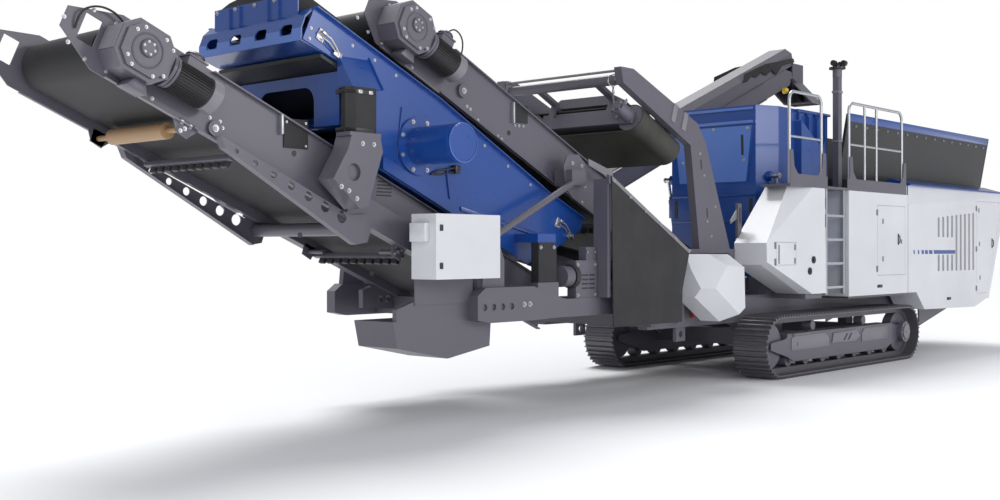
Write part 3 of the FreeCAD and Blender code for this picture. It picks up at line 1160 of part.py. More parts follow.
def control_cabinet():
    (x_low, z_low), (x_high, z_high) = CONTROL_BOX
    wall = 25
    box = block((x_low, -CONTROL_Y, z_low), (x_high, -CONTROL_Y + CONTROL_DEPTH, z_high))
    hollow = block((x_low + wall, -CONTROL_Y, z_low + wall),
                   (x_high - wall, -CONTROL_Y + CONTROL_DEPTH - wall, z_high - wall))
    return box.cut(hollow)


def control_door():
    (x_low, z_low), (x_high, z_high) = CONTROL_BOX
    return block((x_low, -CONTROL_Y - 28, z_low), (x_high, -CONTROL_Y - SEAT, z_high))


def belt_guard_box():
    outline = ((-5690, 900), (-4500, 900), (-4520, 640), (-5050, 560), (-5640, 680))
    return slab_xz(outline, -BEAM_INNER_Y, -BEAM_INNER_Y + 480)


# Platform and ladder

def platform():
    floor = block((300, -SIDE_Y, FLOOR_Z), (3560, -HOPPER_FOOT_Y - 60, FLOOR_Z + FLOOR_THICKNESS))
    gate = block((LADDER_FRONT_X, -SIDE_Y - 1, FLOOR_Z + FLOOR_THICKNESS),
                 (LADDER_REAR_X, -SIDE_Y + 80, FLOOR_Z + 2 * KICK_HEIGHT))
    kick = block((300, -SIDE_Y, FLOOR_Z), (3560, -SIDE_Y + 6, FLOOR_Z + KICK_HEIGHT))
    # Gussets of the kick plate beside the posts: place along X and the way they point.
    ears = []
    for x, way in ((300, 1), (1200, -1), (1850, 1), (3560, -1)):
        ears.append(slab_xz(((x, FLOOR_Z), (x, FLOOR_Z + 430), (x + way * 75, FLOOR_Z + 430),
                             (x + way * 100, FLOOR_Z + 240), (x + way * 190, FLOOR_Z + KICK_HEIGHT),
                             (x + way * 190, FLOOR_Z)), -SIDE_Y, -SIDE_Y + 6))
    return fuse([floor, kick] + ears).cut(gate)


def handrail(x_low, x_high, middles):
    # One tube bent at both upper corners, with thinner uprights and a thin middle rail.
    y = -SIDE_Y + 40
    foot = FLOOR_Z + FLOOR_THICKNESS
    top = HANDRAIL_Z
    bend = HANDRAIL_BEND
    slant = bend * (1 - math.sqrt(0.5))
    path = [Part.LineSegment(Vec(x_low, y, foot), Vec(x_low, y, top - bend)),
            Part.Arc(Vec(x_low, y, top - bend), Vec(x_low + slant, y, top - slant),
                     Vec(x_low + bend, y, top)),
            Part.LineSegment(Vec(x_low + bend, y, top), Vec(x_high - bend, y, top)),
            Part.Arc(Vec(x_high - bend, y, top), Vec(x_high - slant, y, top - slant),
                     Vec(x_high, y, top - bend)),
            Part.LineSegment(Vec(x_high, y, top - bend), Vec(x_high, y, foot))]
    wire = Part.Wire([edge.toShape() for edge in path])
    ring = Part.Wire(Part.Circle(Vec(x_low, y, foot), Z_DIR, RAIL_TUBE_R).toShape())
    pieces = [wire.makePipeShell([ring], True, True)]
    for x in middles:
        pieces.append(rod((x, y, foot), (x, y, top), POST_TUBE_R))
    pieces.append(rod((x_low, y, MIDRAIL_Z), (x_high, y, MIDRAIL_Z), MID_TUBE_R))
    return fuse(pieces)


def railings():
    return [handrail(350, 1150, ()), handrail(1900, 3500, (2350, 2700))]


def ladder():
    y = -SIDE_Y + 50
    pieces = []
    for x in (LADDER_FRONT_X + 30, LADDER_REAR_X - 30):
        pieces.append(block((x - 25, y - 20, 940), (x + 25, y + 20, FLOOR_Z)))
    for index in range(RUNG_COUNT):
        z = RUNG_FIRST_Z + index * RUNG_PITCH
        pieces.append(block((LADDER_FRONT_X + 30, y - 15, z - 15), (LADDER_REAR_X - 30, y + 60, z + 15)))
    return fuse(pieces)


def mast_lamp():
    column = block((2200, -920, FLOOR_Z + FLOOR_THICKNESS), (2300, -840, 3750))
    lamp = rod((2250, -880, 3750), (2250, -880, 3860), 60)
    return fuse([column, lamp])


# Overband magnet

def magnet_tilt(shape):
    result = shape.copy()
    result.rotate(Vec(0, 0, 0), Y_DIR, DISCHARGE_ANGLE)
    result.translate(Vec(MAGNET_X, 0, MAGNET_Z))
    return result


def magnet_frame():
    upper = ((-2490, 3360), (-2270, 3360), (-1060, 2890), (-900, 2700), (-960, 2560), (-1190, 2560),
             (-1200, 2640), (-2450, 3200))
    lower = ((-1200, 2640), (-900, 2700), (-380, 1500), (-1020, 1500))
    outer = MAGNET_FRAME_Y
    inner = MAGNET_FRAME_Y - MAGNET_ARM_WIDTH
    # The far leg stands further inwards, beside the return conveyor.
    far_leg_inner = inner - 100
    pieces = [slab_xz(upper, -outer, -inner), slab_xz(lower, -outer, -inner),
              slab_xz(upper, inner - 10, outer), slab_xz(lower, far_leg_inner, inner)]
    for x, z in MAGNET_TUBES:
        pieces.append(rod((x, -inner - 45, z), (x, inner + 45, z), MAGNET_TUBE_R))
    for y_low, y_high in ((-outer, -inner), (far_leg_inner, inner)):
        pieces.append(block((-1830, y_low, 1455), (-270, y_high, 1500)))
    for x in (-1450, -400):
        pieces.append(block((x, -outer, RAIL_LOW + 60), (x + 120, -RAIL_OUTER_Y, 1460)))
    for x in (-1780, -400):
        pieces.append(block((x, far_leg_inner, RAIL_HIGH), (x + 120, inner, 1460)))
    # Hangers with flat feet on the bars of the magnet.
    for side in (-1, 1):
        y_low = side * MAGNET_HANGER_Y - 40
        front = block((-786, y_low, MAGNET_BAR_TOP), (-380, y_low + 80, MAGNET_BAR_TOP + 40))
        rear = block((94, y_low, MAGNET_BAR_TOP), (134, y_low + 80, MAGNET_BAR_TOP + 175))
        pieces.extend([magnet_tilt(front), magnet_tilt(rear)])
    return fuse(pieces)


def magnet_body():
    edge = MAGNET_BELT_HALF + 10
    end = edge + MAGNET_PLATE
    reach = MAGNET_DRUM_Y + 60
    pieces = [block((-edge, -540, -60), (edge, 540, 120))]
    for side in (-1, 1):
        x_low = min(side * edge, side * end)
        pieces.append(block((x_low, -reach, -80), (x_low + MAGNET_PLATE, reach, 60)))
        for place_y in (-MAGNET_HANGER_Y, MAGNET_HANGER_Y):
            pieces.append(block((x_low, place_y - 40, 60),
                                (x_low + MAGNET_PLATE, place_y + 40, MAGNET_BAR_TOP)))
        y_low = side * MAGNET_HANGER_Y - 40
        pieces.append(block((-end, y_low, MAGNET_BAR_TOP - 45), (end, y_low + 80, MAGNET_BAR_TOP)))
        y = side * MAGNET_DRUM_Y
        pieces.append(rod((-MAGNET_BELT_HALF, y, 0), (MAGNET_BELT_HALF, y, 0), MAGNET_DRUM_R - SEAT))
        pieces.append(rod((-edge, y, 0), (edge, y, 0), SHAFT_R))
    # Motor at the near drum's upper end and the faceted cover over the bars.
    pieces.append(rod((-end - 210, -MAGNET_DRUM_Y, 0), (-end, -MAGNET_DRUM_Y, 0), 72))
    pieces.append(rod((-end - 240, -MAGNET_DRUM_Y, 0), (-end - 200, -MAGNET_DRUM_Y, 0), 45))
    roof = ((-520, MAGNET_BAR_TOP), (520, MAGNET_BAR_TOP), (520, MAGNET_BAR_TOP + 30),
            (400, MAGNET_BAR_TOP + 120),
            (-330, MAGNET_BAR_TOP + 120), (-520, MAGNET_BAR_TOP + 30))
    pieces.append(slab_yz(roof, -340, 60))
    return magnet_tilt(fuse(pieces))


def magnet_belt():
    # Runs across the machine, round two drums beside the magnet.
    width = MAGNET_BELT_HALF
    outer = stadium(-MAGNET_DRUM_Y, MAGNET_DRUM_Y, 0, MAGNET_DRUM_R + BELT_THICKNESS, -width, width)
    inner = stadium(-MAGNET_DRUM_Y, MAGNET_DRUM_Y, 0, MAGNET_DRUM_R, -width, width)
    loop = outer.cut(inner)
    loop.rotate(Vec(0, 0, 0), Z_DIR, 90)
    return magnet_tilt(loop)


def engine_block():
    (x_low, x_high) = ENGINE["x"]
    return block((x_low, -ENGINE["half"], RAIL_HIGH + DECK_THICKNESS),
                 (x_high, ENGINE["half"], ENGINE["top"]))


def place(shape):
    moved = shape.copy()
    moved.translate(Vec(-MIDDLE_X, 0, 0))
    return moved


def save(name, shapes):
    solids = []
    for shape in shapes:
        solids.extend(place(shape).Solids)
    result = solids[0] if len(solids) == 1 else Part.makeCompound(solids)
    result.exportStep("parts/" + name + ".step")


def machine():
    loop = track_loop()
    side_frame = track_frame()
    wheels = track_wheels()
    near_wall = hopper_side_wall()
    nodes = {
        "track_near": [loop], "track_far": [mirror_y(loop)],
        "track_frame_near": [side_frame], "track_frame_far": [mirror_y(side_frame)],
        "track_wheels_near": wheels, "track_wheels_far": [mirror_y(wheel) for wheel in wheels],
        "chassis_frame": [chassis_frame()], "frame_posts": frame_posts(),
        "hood_floor": [hood_floor()], "screen_chassis": [screen_chassis()],
        "screen_mounts": screen_mounts(), "screen_box": [screen_box()], "screen_deck": [screen_deck()],
        "crusher_casing": [crusher_casing()], "crusher_lid": [crusher_lid()],
        "crusher_rotor": [crusher_rotor()], "discharge_pan": [discharge_pan()],
        "feeder_trough": [feeder_trough()],
        "hopper_wall_near": [near_wall], "hopper_wall_far": [mirror_y(near_wall)],
        "hopper_wall_rear": [hopper_rear_wall()],
        "front_cabinet": [front_cabinet()], "front_cabinet_door": [door_panel(FRONT_DOOR)],
        "side_cabinet": [side_cabinet()], "side_cabinet_door": [door_panel(SIDE_DOOR)],
        "power_hood": power_hood(), "hood_door": [door_panel(HOOD_DOOR)],
        "hood_cover": hood_cover(), "engine_block": [engine_block()],
        "corner_cover": [corner_cover()], "side_curtain": [side_curtain()],
        "control_cabinet": [control_cabinet()], "control_door": [control_door()],
        "belt_guard_box": [belt_guard_box()], "fines_arms": fines_arms(), "screen_struts": screen_struts(),
        "platform": [platform()], "railings": railings(), "ladder": [ladder()],
        "mast_lamp": [mast_lamp()],
        "magnet_frame": [magnet_frame()], "magnet_body": [magnet_body()], "magnet_belt": [magnet_belt()],
    }
    for group in (fines_conveyor(), discharge_conveyor(), return_conveyor(), cross_conveyor(),
                  cylinder_parts()):
        nodes.update(group)
    rollers = []
    for name in ("fines_rollers", "discharge_rollers", "cross_rollers"):
        rollers.extend(nodes.pop(name))
    nodes["belt_rollers"] = rollers
    return nodes


for node_name, node_shapes in machine().items():
    save(node_name, node_shapes)
    box = Part.makeCompound([place(shape) for shape in node_shapes]).BoundBox
    print("%-20s solids %2d  x %7.0f %7.0f  y %6.0f %6.0f  z %5.0f %5.0f" % (
        node_name, sum(len(shape.Solids) for shape in node_shapes),
        box.XMin, box.XMax, box.YMin, box.YMax, box.ZMin, box.ZMax))
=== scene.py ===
# %% [markdown]
# # A crawler-mounted crushing plant, dressed for its picture
#
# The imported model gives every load-bearing shape: tracks, frames, conveyors, screen, crusher, hopper
# and covers. This lesson loads it as a fixed frame, sets the camera where the photographer stood,
# gives every node the finish that the real machine has, and then adds the small parts that a mechanic
# would point at: bolts, hinges, latches, cables, hoses, seams, stiffeners and the fine ribs of the
# motors.

# %% Load the frame
import math

import bmesh
import bpy
from mathutils import Matrix, Vector


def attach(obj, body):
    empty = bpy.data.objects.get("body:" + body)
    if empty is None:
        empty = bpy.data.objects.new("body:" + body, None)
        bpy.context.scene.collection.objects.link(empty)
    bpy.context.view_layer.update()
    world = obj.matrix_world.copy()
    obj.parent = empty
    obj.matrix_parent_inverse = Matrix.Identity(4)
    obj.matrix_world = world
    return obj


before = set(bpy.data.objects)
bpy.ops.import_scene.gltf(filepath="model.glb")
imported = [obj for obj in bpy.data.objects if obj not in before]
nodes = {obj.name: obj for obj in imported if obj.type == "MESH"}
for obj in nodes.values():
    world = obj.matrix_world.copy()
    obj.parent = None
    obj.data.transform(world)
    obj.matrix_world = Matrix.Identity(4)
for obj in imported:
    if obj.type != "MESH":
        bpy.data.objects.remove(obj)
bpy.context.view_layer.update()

# %% [markdown]
# ## Camera
#
# The two vanishing directions of the photograph give the camera: it stands 1.5 m above the ground,
# about 8 m off the near side and 4 m ahead of the screen's end, and looks level at 41.9 degrees to
# the machine's length. A lens of 43 mm on a 36 mm sensor gives the same perspective, with the near
# conveyor large and the hopper small.

# %% Camera
YAW = math.radians(41.9)
camera_data = bpy.data.cameras.new("photo_camera")
camera_data.sensor_width = 36
camera_data.lens = 43.2
camera_data.shift_y = -0.001
camera_data.clip_end = 200
camera = bpy.data.objects.new("photo_camera", camera_data)
camera.location = (-11.943, -8.093, 1.5)
camera.rotation_euler = (math.radians(90), 0, YAW - math.radians(90))
bpy.context.scene.collection.objects.link(camera)
bpy.context.scene.camera = camera

# %% [markdown]
# ## Studio
#
# The picture has a white room: a pale floor that keeps a wide soft shadow, and light from large
# softboxes above and behind, with enough fill from the front for the white covers to stay white. One
# broad sun stands in for the ceiling, two area lamps draw the long highlights along the blue plates,
# and the world is a soft white.

# %% Studio
scene = bpy.context.scene
scene.view_settings.view_transform = "Standard"


def new_world():
    world = bpy.data.worlds.new("studio")
    scene.world = world
    world.use_nodes = True
    tree = world.node_tree
    tree.nodes.clear()
    out = tree.nodes.new("ShaderNodeOutputWorld")
    fill = tree.nodes.new("ShaderNodeBackground")
    fill.inputs["Color"].default_value = (0.93, 0.95, 1.0, 1)
    fill.inputs["Strength"].default_value = 0.50
    white = tree.nodes.new("ShaderNodeBackground")
    white.inputs["Color"].default_value = (1, 1, 1, 1)
    white.inputs["Strength"].default_value = 1.0
    path = tree.nodes.new("ShaderNodeLightPath")
    mix = tree.nodes.new("ShaderNodeMixShader")
    tree.links.new(path.outputs["Is Camera Ray"], mix.inputs["Fac"])
    tree.links.new(fill.outputs[0], mix.inputs[1])
    tree.links.new(white.outputs[0], mix.inputs[2])
    tree.links.new(mix.outputs[0], out.inputs["Surface"])


def lamp(name, kind, place, aim, energy, size):
    data = bpy.data.lights.new(name, kind)
    data.energy = energy
    if kind == "AREA":
        data.shape = "RECTANGLE"
        data.size = size
        data.size_y = size * 0.6
    else:
        data.angle = size
    lamp_object = bpy.data.objects.new(name, data)
    lamp_object.location = place
    turn = (Vector(aim) - Vector(place)).to_track_quat("-Z", "Y")
    lamp_object.rotation_euler = turn.to_euler()
    scene.collection.objects.link(lamp_object)
    return lamp_object


new_world()
lamp("ceiling", "SUN", (4, 6, 14), (-1, -1.5, 0), 2.3, math.radians(32))
lamp("front_fill", "AREA", (-15, -14, 8), (-3, 0, 1.2), 620, 9)
lamp("side_strip", "AREA", (3, -16, 6), (2, 0, 1.6), 560, 8)


def floor_material():
    material = bpy.data.materials.new("studio_floor")
    material.use_nodes = True
    tree = material.node_tree
    tree.nodes.clear()
    out = tree.nodes.new("ShaderNodeOutputMaterial")
    paint = tree.nodes.new("ShaderNodeBsdfPrincipled")
    paint.inputs["Base Color"].default_value = (0.93, 0.93, 0.94, 1)
    paint.inputs["Roughness"].default_value = 0.6
    tree.links.new(paint.outputs[0], out.inputs["Surface"])
    return material


floor_mesh = bpy.data.meshes.new("floor")
floor_bm = bmesh.new()
bmesh.ops.create_grid(floor_bm, x_segments=1, y_segments=1, size=90)
floor_bm.to_mesh(floor_mesh)
floor_bm.free()
floor = bpy.data.objects.new("floor", floor_mesh)
floor.data.materials.append(floor_material())
scene.collection.objects.link(floor)

# %% [markdown]
# ## Finishes
#
# The plant is painted, not bare: deep blue on the screen and the crusher, a grey with a breath of
# violet on all the frames, white on the covers. Fresh paint is nearly even, so the life comes from
# three small things: a slow drift of tone over metres, an orange-peel ripple a few millimetres wide,
# and a thin veil of dust where surfaces look up. Rubber, worn track steel and galvanised tube each
# need a grain of their own.

# %% Finish kit
def shader_base(name):
    material = bpy.data.materials.new(name)
    material.use_nodes = True
    tree = material.node_tree
    tree.nodes.clear()
    out = tree.nodes.new("ShaderNodeOutputMaterial")
    skin = tree.nodes.new("ShaderNodeBsdfPrincipled")
    tree.links.new(skin.outputs[0], out.inputs["Surface"])
    place = tree.nodes.new("ShaderNodeTexCoord")
    return material, tree, skin, place


def noise(tree, place, scale, detail=3.0, roughness=0.55):
    node = tree.nodes.new("ShaderNodeTexNoise")
    node.inputs["Scale"].default_value = scale
    node.inputs["Detail"].default_value = detail
    node.inputs["Roughness"].default_value = roughness
    tree.links.new(place.outputs["Object"], node.inputs["Vector"])
    return node.outputs["Fac"]


def ramp(tree, value, stops):
    node = tree.nodes.new("ShaderNodeValToRGB")
    elements = node.color_ramp.elements
    while len(elements) < len(stops):
        elements.new(0.5)
    for element, (position, colour) in zip(elements, stops):
        element.position = position
        element.color = (*colour, 1)
    tree.links.new(value, node.inputs["Fac"])
    return node.outputs["Color"]


def to_range(tree, value, low, high):
    node = tree.nodes.new("ShaderNodeMapRange")
    node.inputs["To Min"].default_value = low
    node.inputs["To Max"].default_value = high
    tree.links.new(value, node.inputs["Value"])
    return node.outputs["Result"]


def mixed(tree, factor, first, second):
    node = tree.nodes.new("ShaderNodeMix")
    node.data_type = "RGBA"
    tree.links.new(factor, node.inputs["Factor"])
    for socket, colour in ((node.inputs[6], first), (node.inputs[7], second)):
        if isinstance(colour, tuple):
            socket.default_value = (*colour, 1)
        else:
            tree.links.new(colour, socket)
    return node.outputs[2]


def bump(tree, skin, height, strength, distance):
    node = tree.nodes.new("ShaderNodeBump")
    node.inputs["Strength"].default_value = strength
    node.inputs["Distance"].default_value = distance
    tree.links.new(height, node.inputs["Height"])
    tree.links.new(node.outputs["Normal"], skin.inputs["Normal"])


def looking_up(tree):
    # 0 on walls and undersides, 1 on level tops, where dust settles.
    geometry = tree.nodes.new("ShaderNodeNewGeometry")
    split = tree.nodes.new("ShaderNodeSeparateXYZ")
    tree.links.new(geometry.outputs["Normal"], split.inputs[0])
    return to_range(tree, split.outputs["Z"], 0.0, 1.0)


def tone(colour, factor):
    return tuple(min(1.0, channel * factor) for channel in colour)


def painted(name, colour, roughness, coat, dust):
    material, tree, skin, place = shader_base(name)
    drift = noise(tree, place, 0.9, 4)
    fine = noise(tree, place, 22, 5, 0.65)
    body = ramp(tree, drift, ((0.3, tone(colour, 0.93)), (0.7, tone(colour, 1.05))))
    grain = ramp(tree, fine, ((0.35, (0.0, 0.0, 0.0)), (0.75, (1.0, 1.0, 1.0))))
    veil = tree.nodes.new("ShaderNodeMath")
    veil.operation = "MULTIPLY"
    tree.links.new(grain, veil.inputs[0])
    tree.links.new(looking_up(tree), veil.inputs[1])
    amount = to_range(tree, veil.outputs[0], 0.0, dust)
    tree.links.new(mixed(tree, amount, body, (0.55, 0.53, 0.50)), skin.inputs["Base Color"])
    tree.links.new(to_range(tree, fine, roughness - 0.05, roughness + 0.08), skin.inputs["Roughness"])
    skin.inputs["Coat Weight"].default_value = coat
    skin.inputs["Coat Roughness"].default_value = 0.12
    bump(tree, skin, noise(tree, place, 260, 2), 0.05, 0.001)
    return material


def rubbery(name, colour, roughness, grain_scale, grain_depth):
    material, tree, skin, place = shader_base(name)
    patches = noise(tree, place, 3.5, 5, 0.6)
    body = ramp(tree, patches, ((0.3, tone(colour, 0.75)), (0.72, tone(colour, 1.35))))
    tree.links.new(body, skin.inputs["Base Color"])
    tree.links.new(to_range(tree, patches, roughness - 0.07, roughness + 0.1), skin.inputs["Roughness"])
    skin.inputs["Specular IOR Level"].default_value = 0.35
    bump(tree, skin, noise(tree, place, grain_scale, 4, 0.7), 0.35, grain_depth)
    return material


def metallic(name, colour, metal, roughness, scratch_scale):
    material, tree, skin, place = shader_base(name)
    stretch = tree.nodes.new("ShaderNodeMapping")
    stretch.inputs["Scale"].default_value = (1.0, 1.0, 9.0)
    tree.links.new(place.outputs["Object"], stretch.inputs["Vector"])
    scratches = tree.nodes.new("ShaderNodeTexNoise")
    scratches.inputs["Scale"].default_value = scratch_scale
    scratches.inputs["Detail"].default_value = 4
    tree.links.new(stretch.outputs[0], scratches.inputs["Vector"])
    marks = scratches.outputs["Fac"]
    body = ramp(tree, marks, ((0.3, tone(colour, 0.82)), (0.7, tone(colour, 1.12))))
    tree.links.new(body, skin.inputs["Base Color"])
    skin.inputs["Metallic"].default_value = metal
    tree.links.new(to_range(tree, marks, roughness - 0.08, roughness + 0.12), skin.inputs["Roughness"])
    bump(tree, skin, marks, 0.08, 0.001)
    return material


BLUE = (0.008, 0.062, 0.30)
# The paler blue is painted light: painted highlights on edges, the lit front face of the screen's beam and a
# painted reflection of the sky on the crusher lid's front panel.
BLUE_PAINTED_LIGHT = (0.10, 0.21, 0.60)
GREY = (0.118, 0.112, 0.140)
WHITE = (0.72, 0.73, 0.76)
finish = {
    "blue": painted("paint_blue", BLUE, 0.28, 0.5, 0.04),
    "blue_painted_light": painted("blue_for_painted_light", BLUE_PAINTED_LIGHT, 0.32, 0.4, 0.05),
    "grey": painted("paint_grey", GREY, 0.42, 0.15, 0.10),
    "light_grey": painted("paint_light_grey", (0.22, 0.21, 0.235), 0.45, 0.1, 0.08),
    "white": painted("paint_white", WHITE, 0.34, 0.25, 0.03),
    "dark": painted("paint_dark", (0.028, 0.028, 0.030), 0.5, 0.05, 0.06),
    "black": painted("plastic_black", (0.012, 0.012, 0.013), 0.38, 0.1, 0.02),
    "yellow": painted("lamp_yellow", (0.80, 0.55, 0.02), 0.25, 0.6, 0.0),
    "red": painted("paint_red", (0.55, 0.02, 0.015), 0.3, 0.4, 0.0),
    "tan": painted("roller_tan", (0.40, 0.25, 0.13), 0.5, 0.1, 0.05),
    "belt": rubbery("rubber_belt", (0.016, 0.016, 0.017), 0.55, 140, 0.0012),
    "skirt": rubbery("rubber_skirt", (0.028, 0.028, 0.030), 0.6, 60, 0.002),
    "olive": rubbery("rubber_olive", (0.045, 0.045, 0.038), 0.5, 90, 0.001),
    "track": metallic("track_steel", (0.16, 0.155, 0.17), 0.55, 0.46, 24),
    "zinc": metallic("galvanised", (0.55, 0.56, 0.58), 0.85, 0.36, 30),
    "steel": metallic("bare_steel", (0.62, 0.62, 0.63), 1.0, 0.28, 40),
}
print("finishes", len(finish))

# %% [markdown]
# ## Which finish goes where
#
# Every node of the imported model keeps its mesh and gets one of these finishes, by the part of the
# machine that it belongs to.

# %% Dress the nodes
FINISH_OF = {
    "track": ("track_near", "track_far"),
    "grey": ("track_frame_near", "track_frame_far", "track_wheels_near", "track_wheels_far", "chassis_frame",
             "screen_chassis", "fines_frame", "fines_drive", "fines_arms", "screen_struts", "belt_guard_box",
             "discharge_frame", "discharge_drive", "return_frame", "return_hood", "cross_frame",
             "magnet_frame", "magnet_body", "mast_lamp", "engine_block", "platform",
             "lid_cylinder_barrels", "discharge_pan", "cross_drive", "frame_posts", "hood_floor"),
    "blue": ("screen_box", "crusher_casing", "crusher_lid", "hood_cover"),
    "white": ("front_cabinet", "front_cabinet_door", "side_cabinet", "side_cabinet_door", "power_hood",
              "hood_door", "corner_cover", "control_cabinet", "control_door"),
    "belt": ("fines_belt", "discharge_belt", "return_belt", "cross_belt"),
    "olive": ("magnet_belt",),
    "skirt": ("screen_mounts", "side_curtain"),
    "dark": ("hopper_wall_near", "hopper_wall_far", "hopper_wall_rear", "feeder_trough", "belt_rollers",
             "screen_deck", "return_rollers"),
    "tan": ("snub_roller",),
    "zinc": ("railings", "ladder"),
    "steel": ("crusher_rotor", "lid_cylinder_rods"),
}
finish_of = {node: key for key, names in FINISH_OF.items() for node in names}
for node_name, node_object in nodes.items():
    material = finish[finish_of.get(node_name, "grey")]
    if not node_object.material_slots:
        node_object.data.materials.append(material)
    for slot in node_object.material_slots:
        slot.material = material
print("dressed", len(nodes), "nodes; by default:", sorted(set(nodes) - set(finish_of)))

# %% [markdown]
# ## A kit for small parts
#
# The sizes of the plant are drawn in millimetres from a point between the tracks, 465 mm behind the
# middle of the whole machine. Every small part is one mesh: closed shapes are added to it one by
# one, so that a row of bolts or a clamp stays one object.

# %% Small-part kit
def mm(x, y, z):
    return Vector(((x + 465) / 1000, y / 1000, z / 1000))


def facing(direction):
    return Vector(direction).to_track_quat("Z", "Y").to_matrix().to_4x4()


def inclined(tail_x, tail_z, degrees, heading):
    # Along the belt, across it and square to it, from the tail drum of a sloping conveyor.
    rise, run = math.sin(math.radians(degrees)), math.cos(math.radians(degrees))

    def point(u, y, v):
        return (tail_x + heading * (u * run - v * rise), y, tail_z + u * rise + v * run)

    return point


class Piece:
    def __init__(self, name, key, body="machine"):
        self.name = name
        self.key = key
        self.body = body
        self.mesh = bmesh.new()

    def block(self, low, high, soft=0.0):
        first, second = mm(*low), mm(*high)
        place = Matrix.Translation((first + second) / 2) @ Matrix.Diagonal((*(second - first), 1))
        made = bmesh.ops.create_cube(self.mesh, size=1, matrix=place)["verts"]
        self.soften(made, soft)

    def soften(self, verts, soft):
        if not soft:
            return
        edges = list({edge for vert in verts for edge in vert.link_edges})
        bmesh.ops.bevel(self.mesh, geom=edges, offset=soft / 1000, segments=2, profile=0.5,
                        affect="EDGES", material=-1, clamp_overlap=True)

    def rod(self, start, end, radius, sides=20, end_radius=None):
        first, second = mm(*start), mm(*end)
        far = radius if end_radius is None else end_radius
        place = Matrix.Translation((first + second) / 2) @ facing(second - first)
        bmesh.ops.create_cone(self.mesh, cap_ends=True, segments=sides, radius1=radius / 1000,
                              radius2=far / 1000, depth=(second - first).length, matrix=place)

    def ball(self, middle, radius):
        place = Matrix.Translation(mm(*middle))
        bmesh.ops.create_uvsphere(self.mesh, u_segments=16, v_segments=10, radius=radius / 1000, matrix=place)

    def bolt(self, place, direction, size=11):
        way = Vector(direction).normalized()
        start = Vector(place)
        self.rod(start - way * 3, start + way * 0.3 * size, size * 1.55, 14)
        self.rod(start + way * 0.3 * size, start + way * 1.1 * size, size, 6)
        self.rod(start + way * 1.1 * size, start + way * 1.5 * size, size * 0.55, 10)

    def prism(self, corners, thickness, soft=0.0):
        outline = [self.mesh.verts.new(mm(*corner)) for corner in corners]
        face = self.mesh.faces.new(outline)
        grown = bmesh.ops.extrude_face_region(self.mesh, geom=[face])["geom"]
        top = [item for item in grown if isinstance(item, bmesh.types.BMVert)]
        bmesh.ops.translate(self.mesh, verts=top, vec=Vector(thickness) / 1000)
        self.soften(outline + top, soft)

    def pipe(self, points, radius, sides=12, closed=False):
        path = [mm(*point) for point in points]
        loops = []
        for index, point in enumerate(path):
            before = path[index - 1] if index or closed else path[0]
            after = path[(index + 1) % len(path)] if index + 1 < len(path) or closed else path[-1]
            place = Matrix.Translation(point) @ facing(after - before)
            made = bmesh.ops.create_circle(self.mesh, cap_ends=False, segments=sides,
                                           radius=radius / 1000, matrix=place)["verts"]
            loops.append(list({edge for vert in made for edge in vert.link_edges}))
        pairs = list(zip(loops, loops[1:])) + ([(loops[-1], loops[0])] if closed else [])
        for first, second in pairs:
            bmesh.ops.bridge_loops(self.mesh, edges=first + second)
        if not closed:
            bmesh.ops.edgeloop_fill(self.mesh, edges=loops[0])
            bmesh.ops.edgeloop_fill(self.mesh, edges=loops[-1])

    def hoop(self, middle, axis, radius, thickness, steps=36):
        turn = facing(axis)
        spots = []
        for step in range(steps):
            angle = 2 * math.pi * step / steps
            arm = turn @ Vector((radius * math.cos(angle), radius * math.sin(angle), 0))
            spots.append(tuple(Vector(middle) + arm))
        self.pipe(spots, thickness, 8, closed=True)

    def done(self):
        bmesh.ops.recalc_face_normals(self.mesh, faces=self.mesh.faces)
        data = bpy.data.meshes.new(self.name)
        self.mesh.to_mesh(data)
        self.mesh.free()
        data.shade_smooth()
        data.set_sharp_from_angle(angle=math.radians(32))
        data.materials.append(finish[self.key])
        result = bpy.data.objects.new(self.name, data)
        scene.collection.objects.link(result)
        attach(result, self.body)
        print(self.name, len(data.polygons), "faces")
        return result


NEAR = (0, -1, 0)
FAR = (0, 1, 0)
AHEAD = (-1, 0, 0)
fines = inclined(-3650, 1035, 23, -1)
discharge = inclined(250, 740, 25, -1)

# %% [markdown]
# ## The screen: bolts, toggle clamps and the dust cover
#
# A vibrating screen is held together by bolts with lock collars, because welds would crack. The
# exciter's flange has its ring of bolts, the spring boots hang in band clips, and two toggle clamps
# on each side plate hold the mesh taut. A curved rubber cover closes the top of the discharge end,
# and a bent lever stands below the exciter.

# %% Screen details
EXCITER_X, EXCITER_Z = -5220, 2380
FLANGE_FACE = 725
END_FACE = 1240
PLATE_FACE = 700
LEG_FACE = 890
bolts = Piece("screen_bolts", "zinc")
for y in (-520, -265, 0, 265, 520):
    bolts.bolt((-6410, y, 3505), AHEAD, 12)
for side in (-1, 1):
    way = (0, side, 0)
    for step in range(8):
        angle = math.radians(22.5 + 45 * step)
        bolts.bolt((EXCITER_X + 218 * math.cos(angle), side * FLANGE_FACE, EXCITER_Z + 218 * math.sin(angle)),
                   way, 13)
    for x, z in ((-6389, 3234), (-6405, 3150), (-5960, 3150), (-5720, 3060), (-5480, 2960), (-4700, 2610),
                 (-4380, 2440), (-4060, 2270), (-3740, 2110), (-3560, 1560), (-4300, 1640)):
        bolts.bolt((x, side * PLATE_FACE, z), way, 9)
    for x, z in ((-6020, 2340), (-5900, 2340), (-6162, 1960), (-6240, 1990), (-6080, 1900)):
        bolts.bolt((x, side * LEG_FACE, z), way, 13)
    for x in (-3930, -3740):
        bolts.bolt((x, side * 990, 1515), way, 12)
bolts.done()

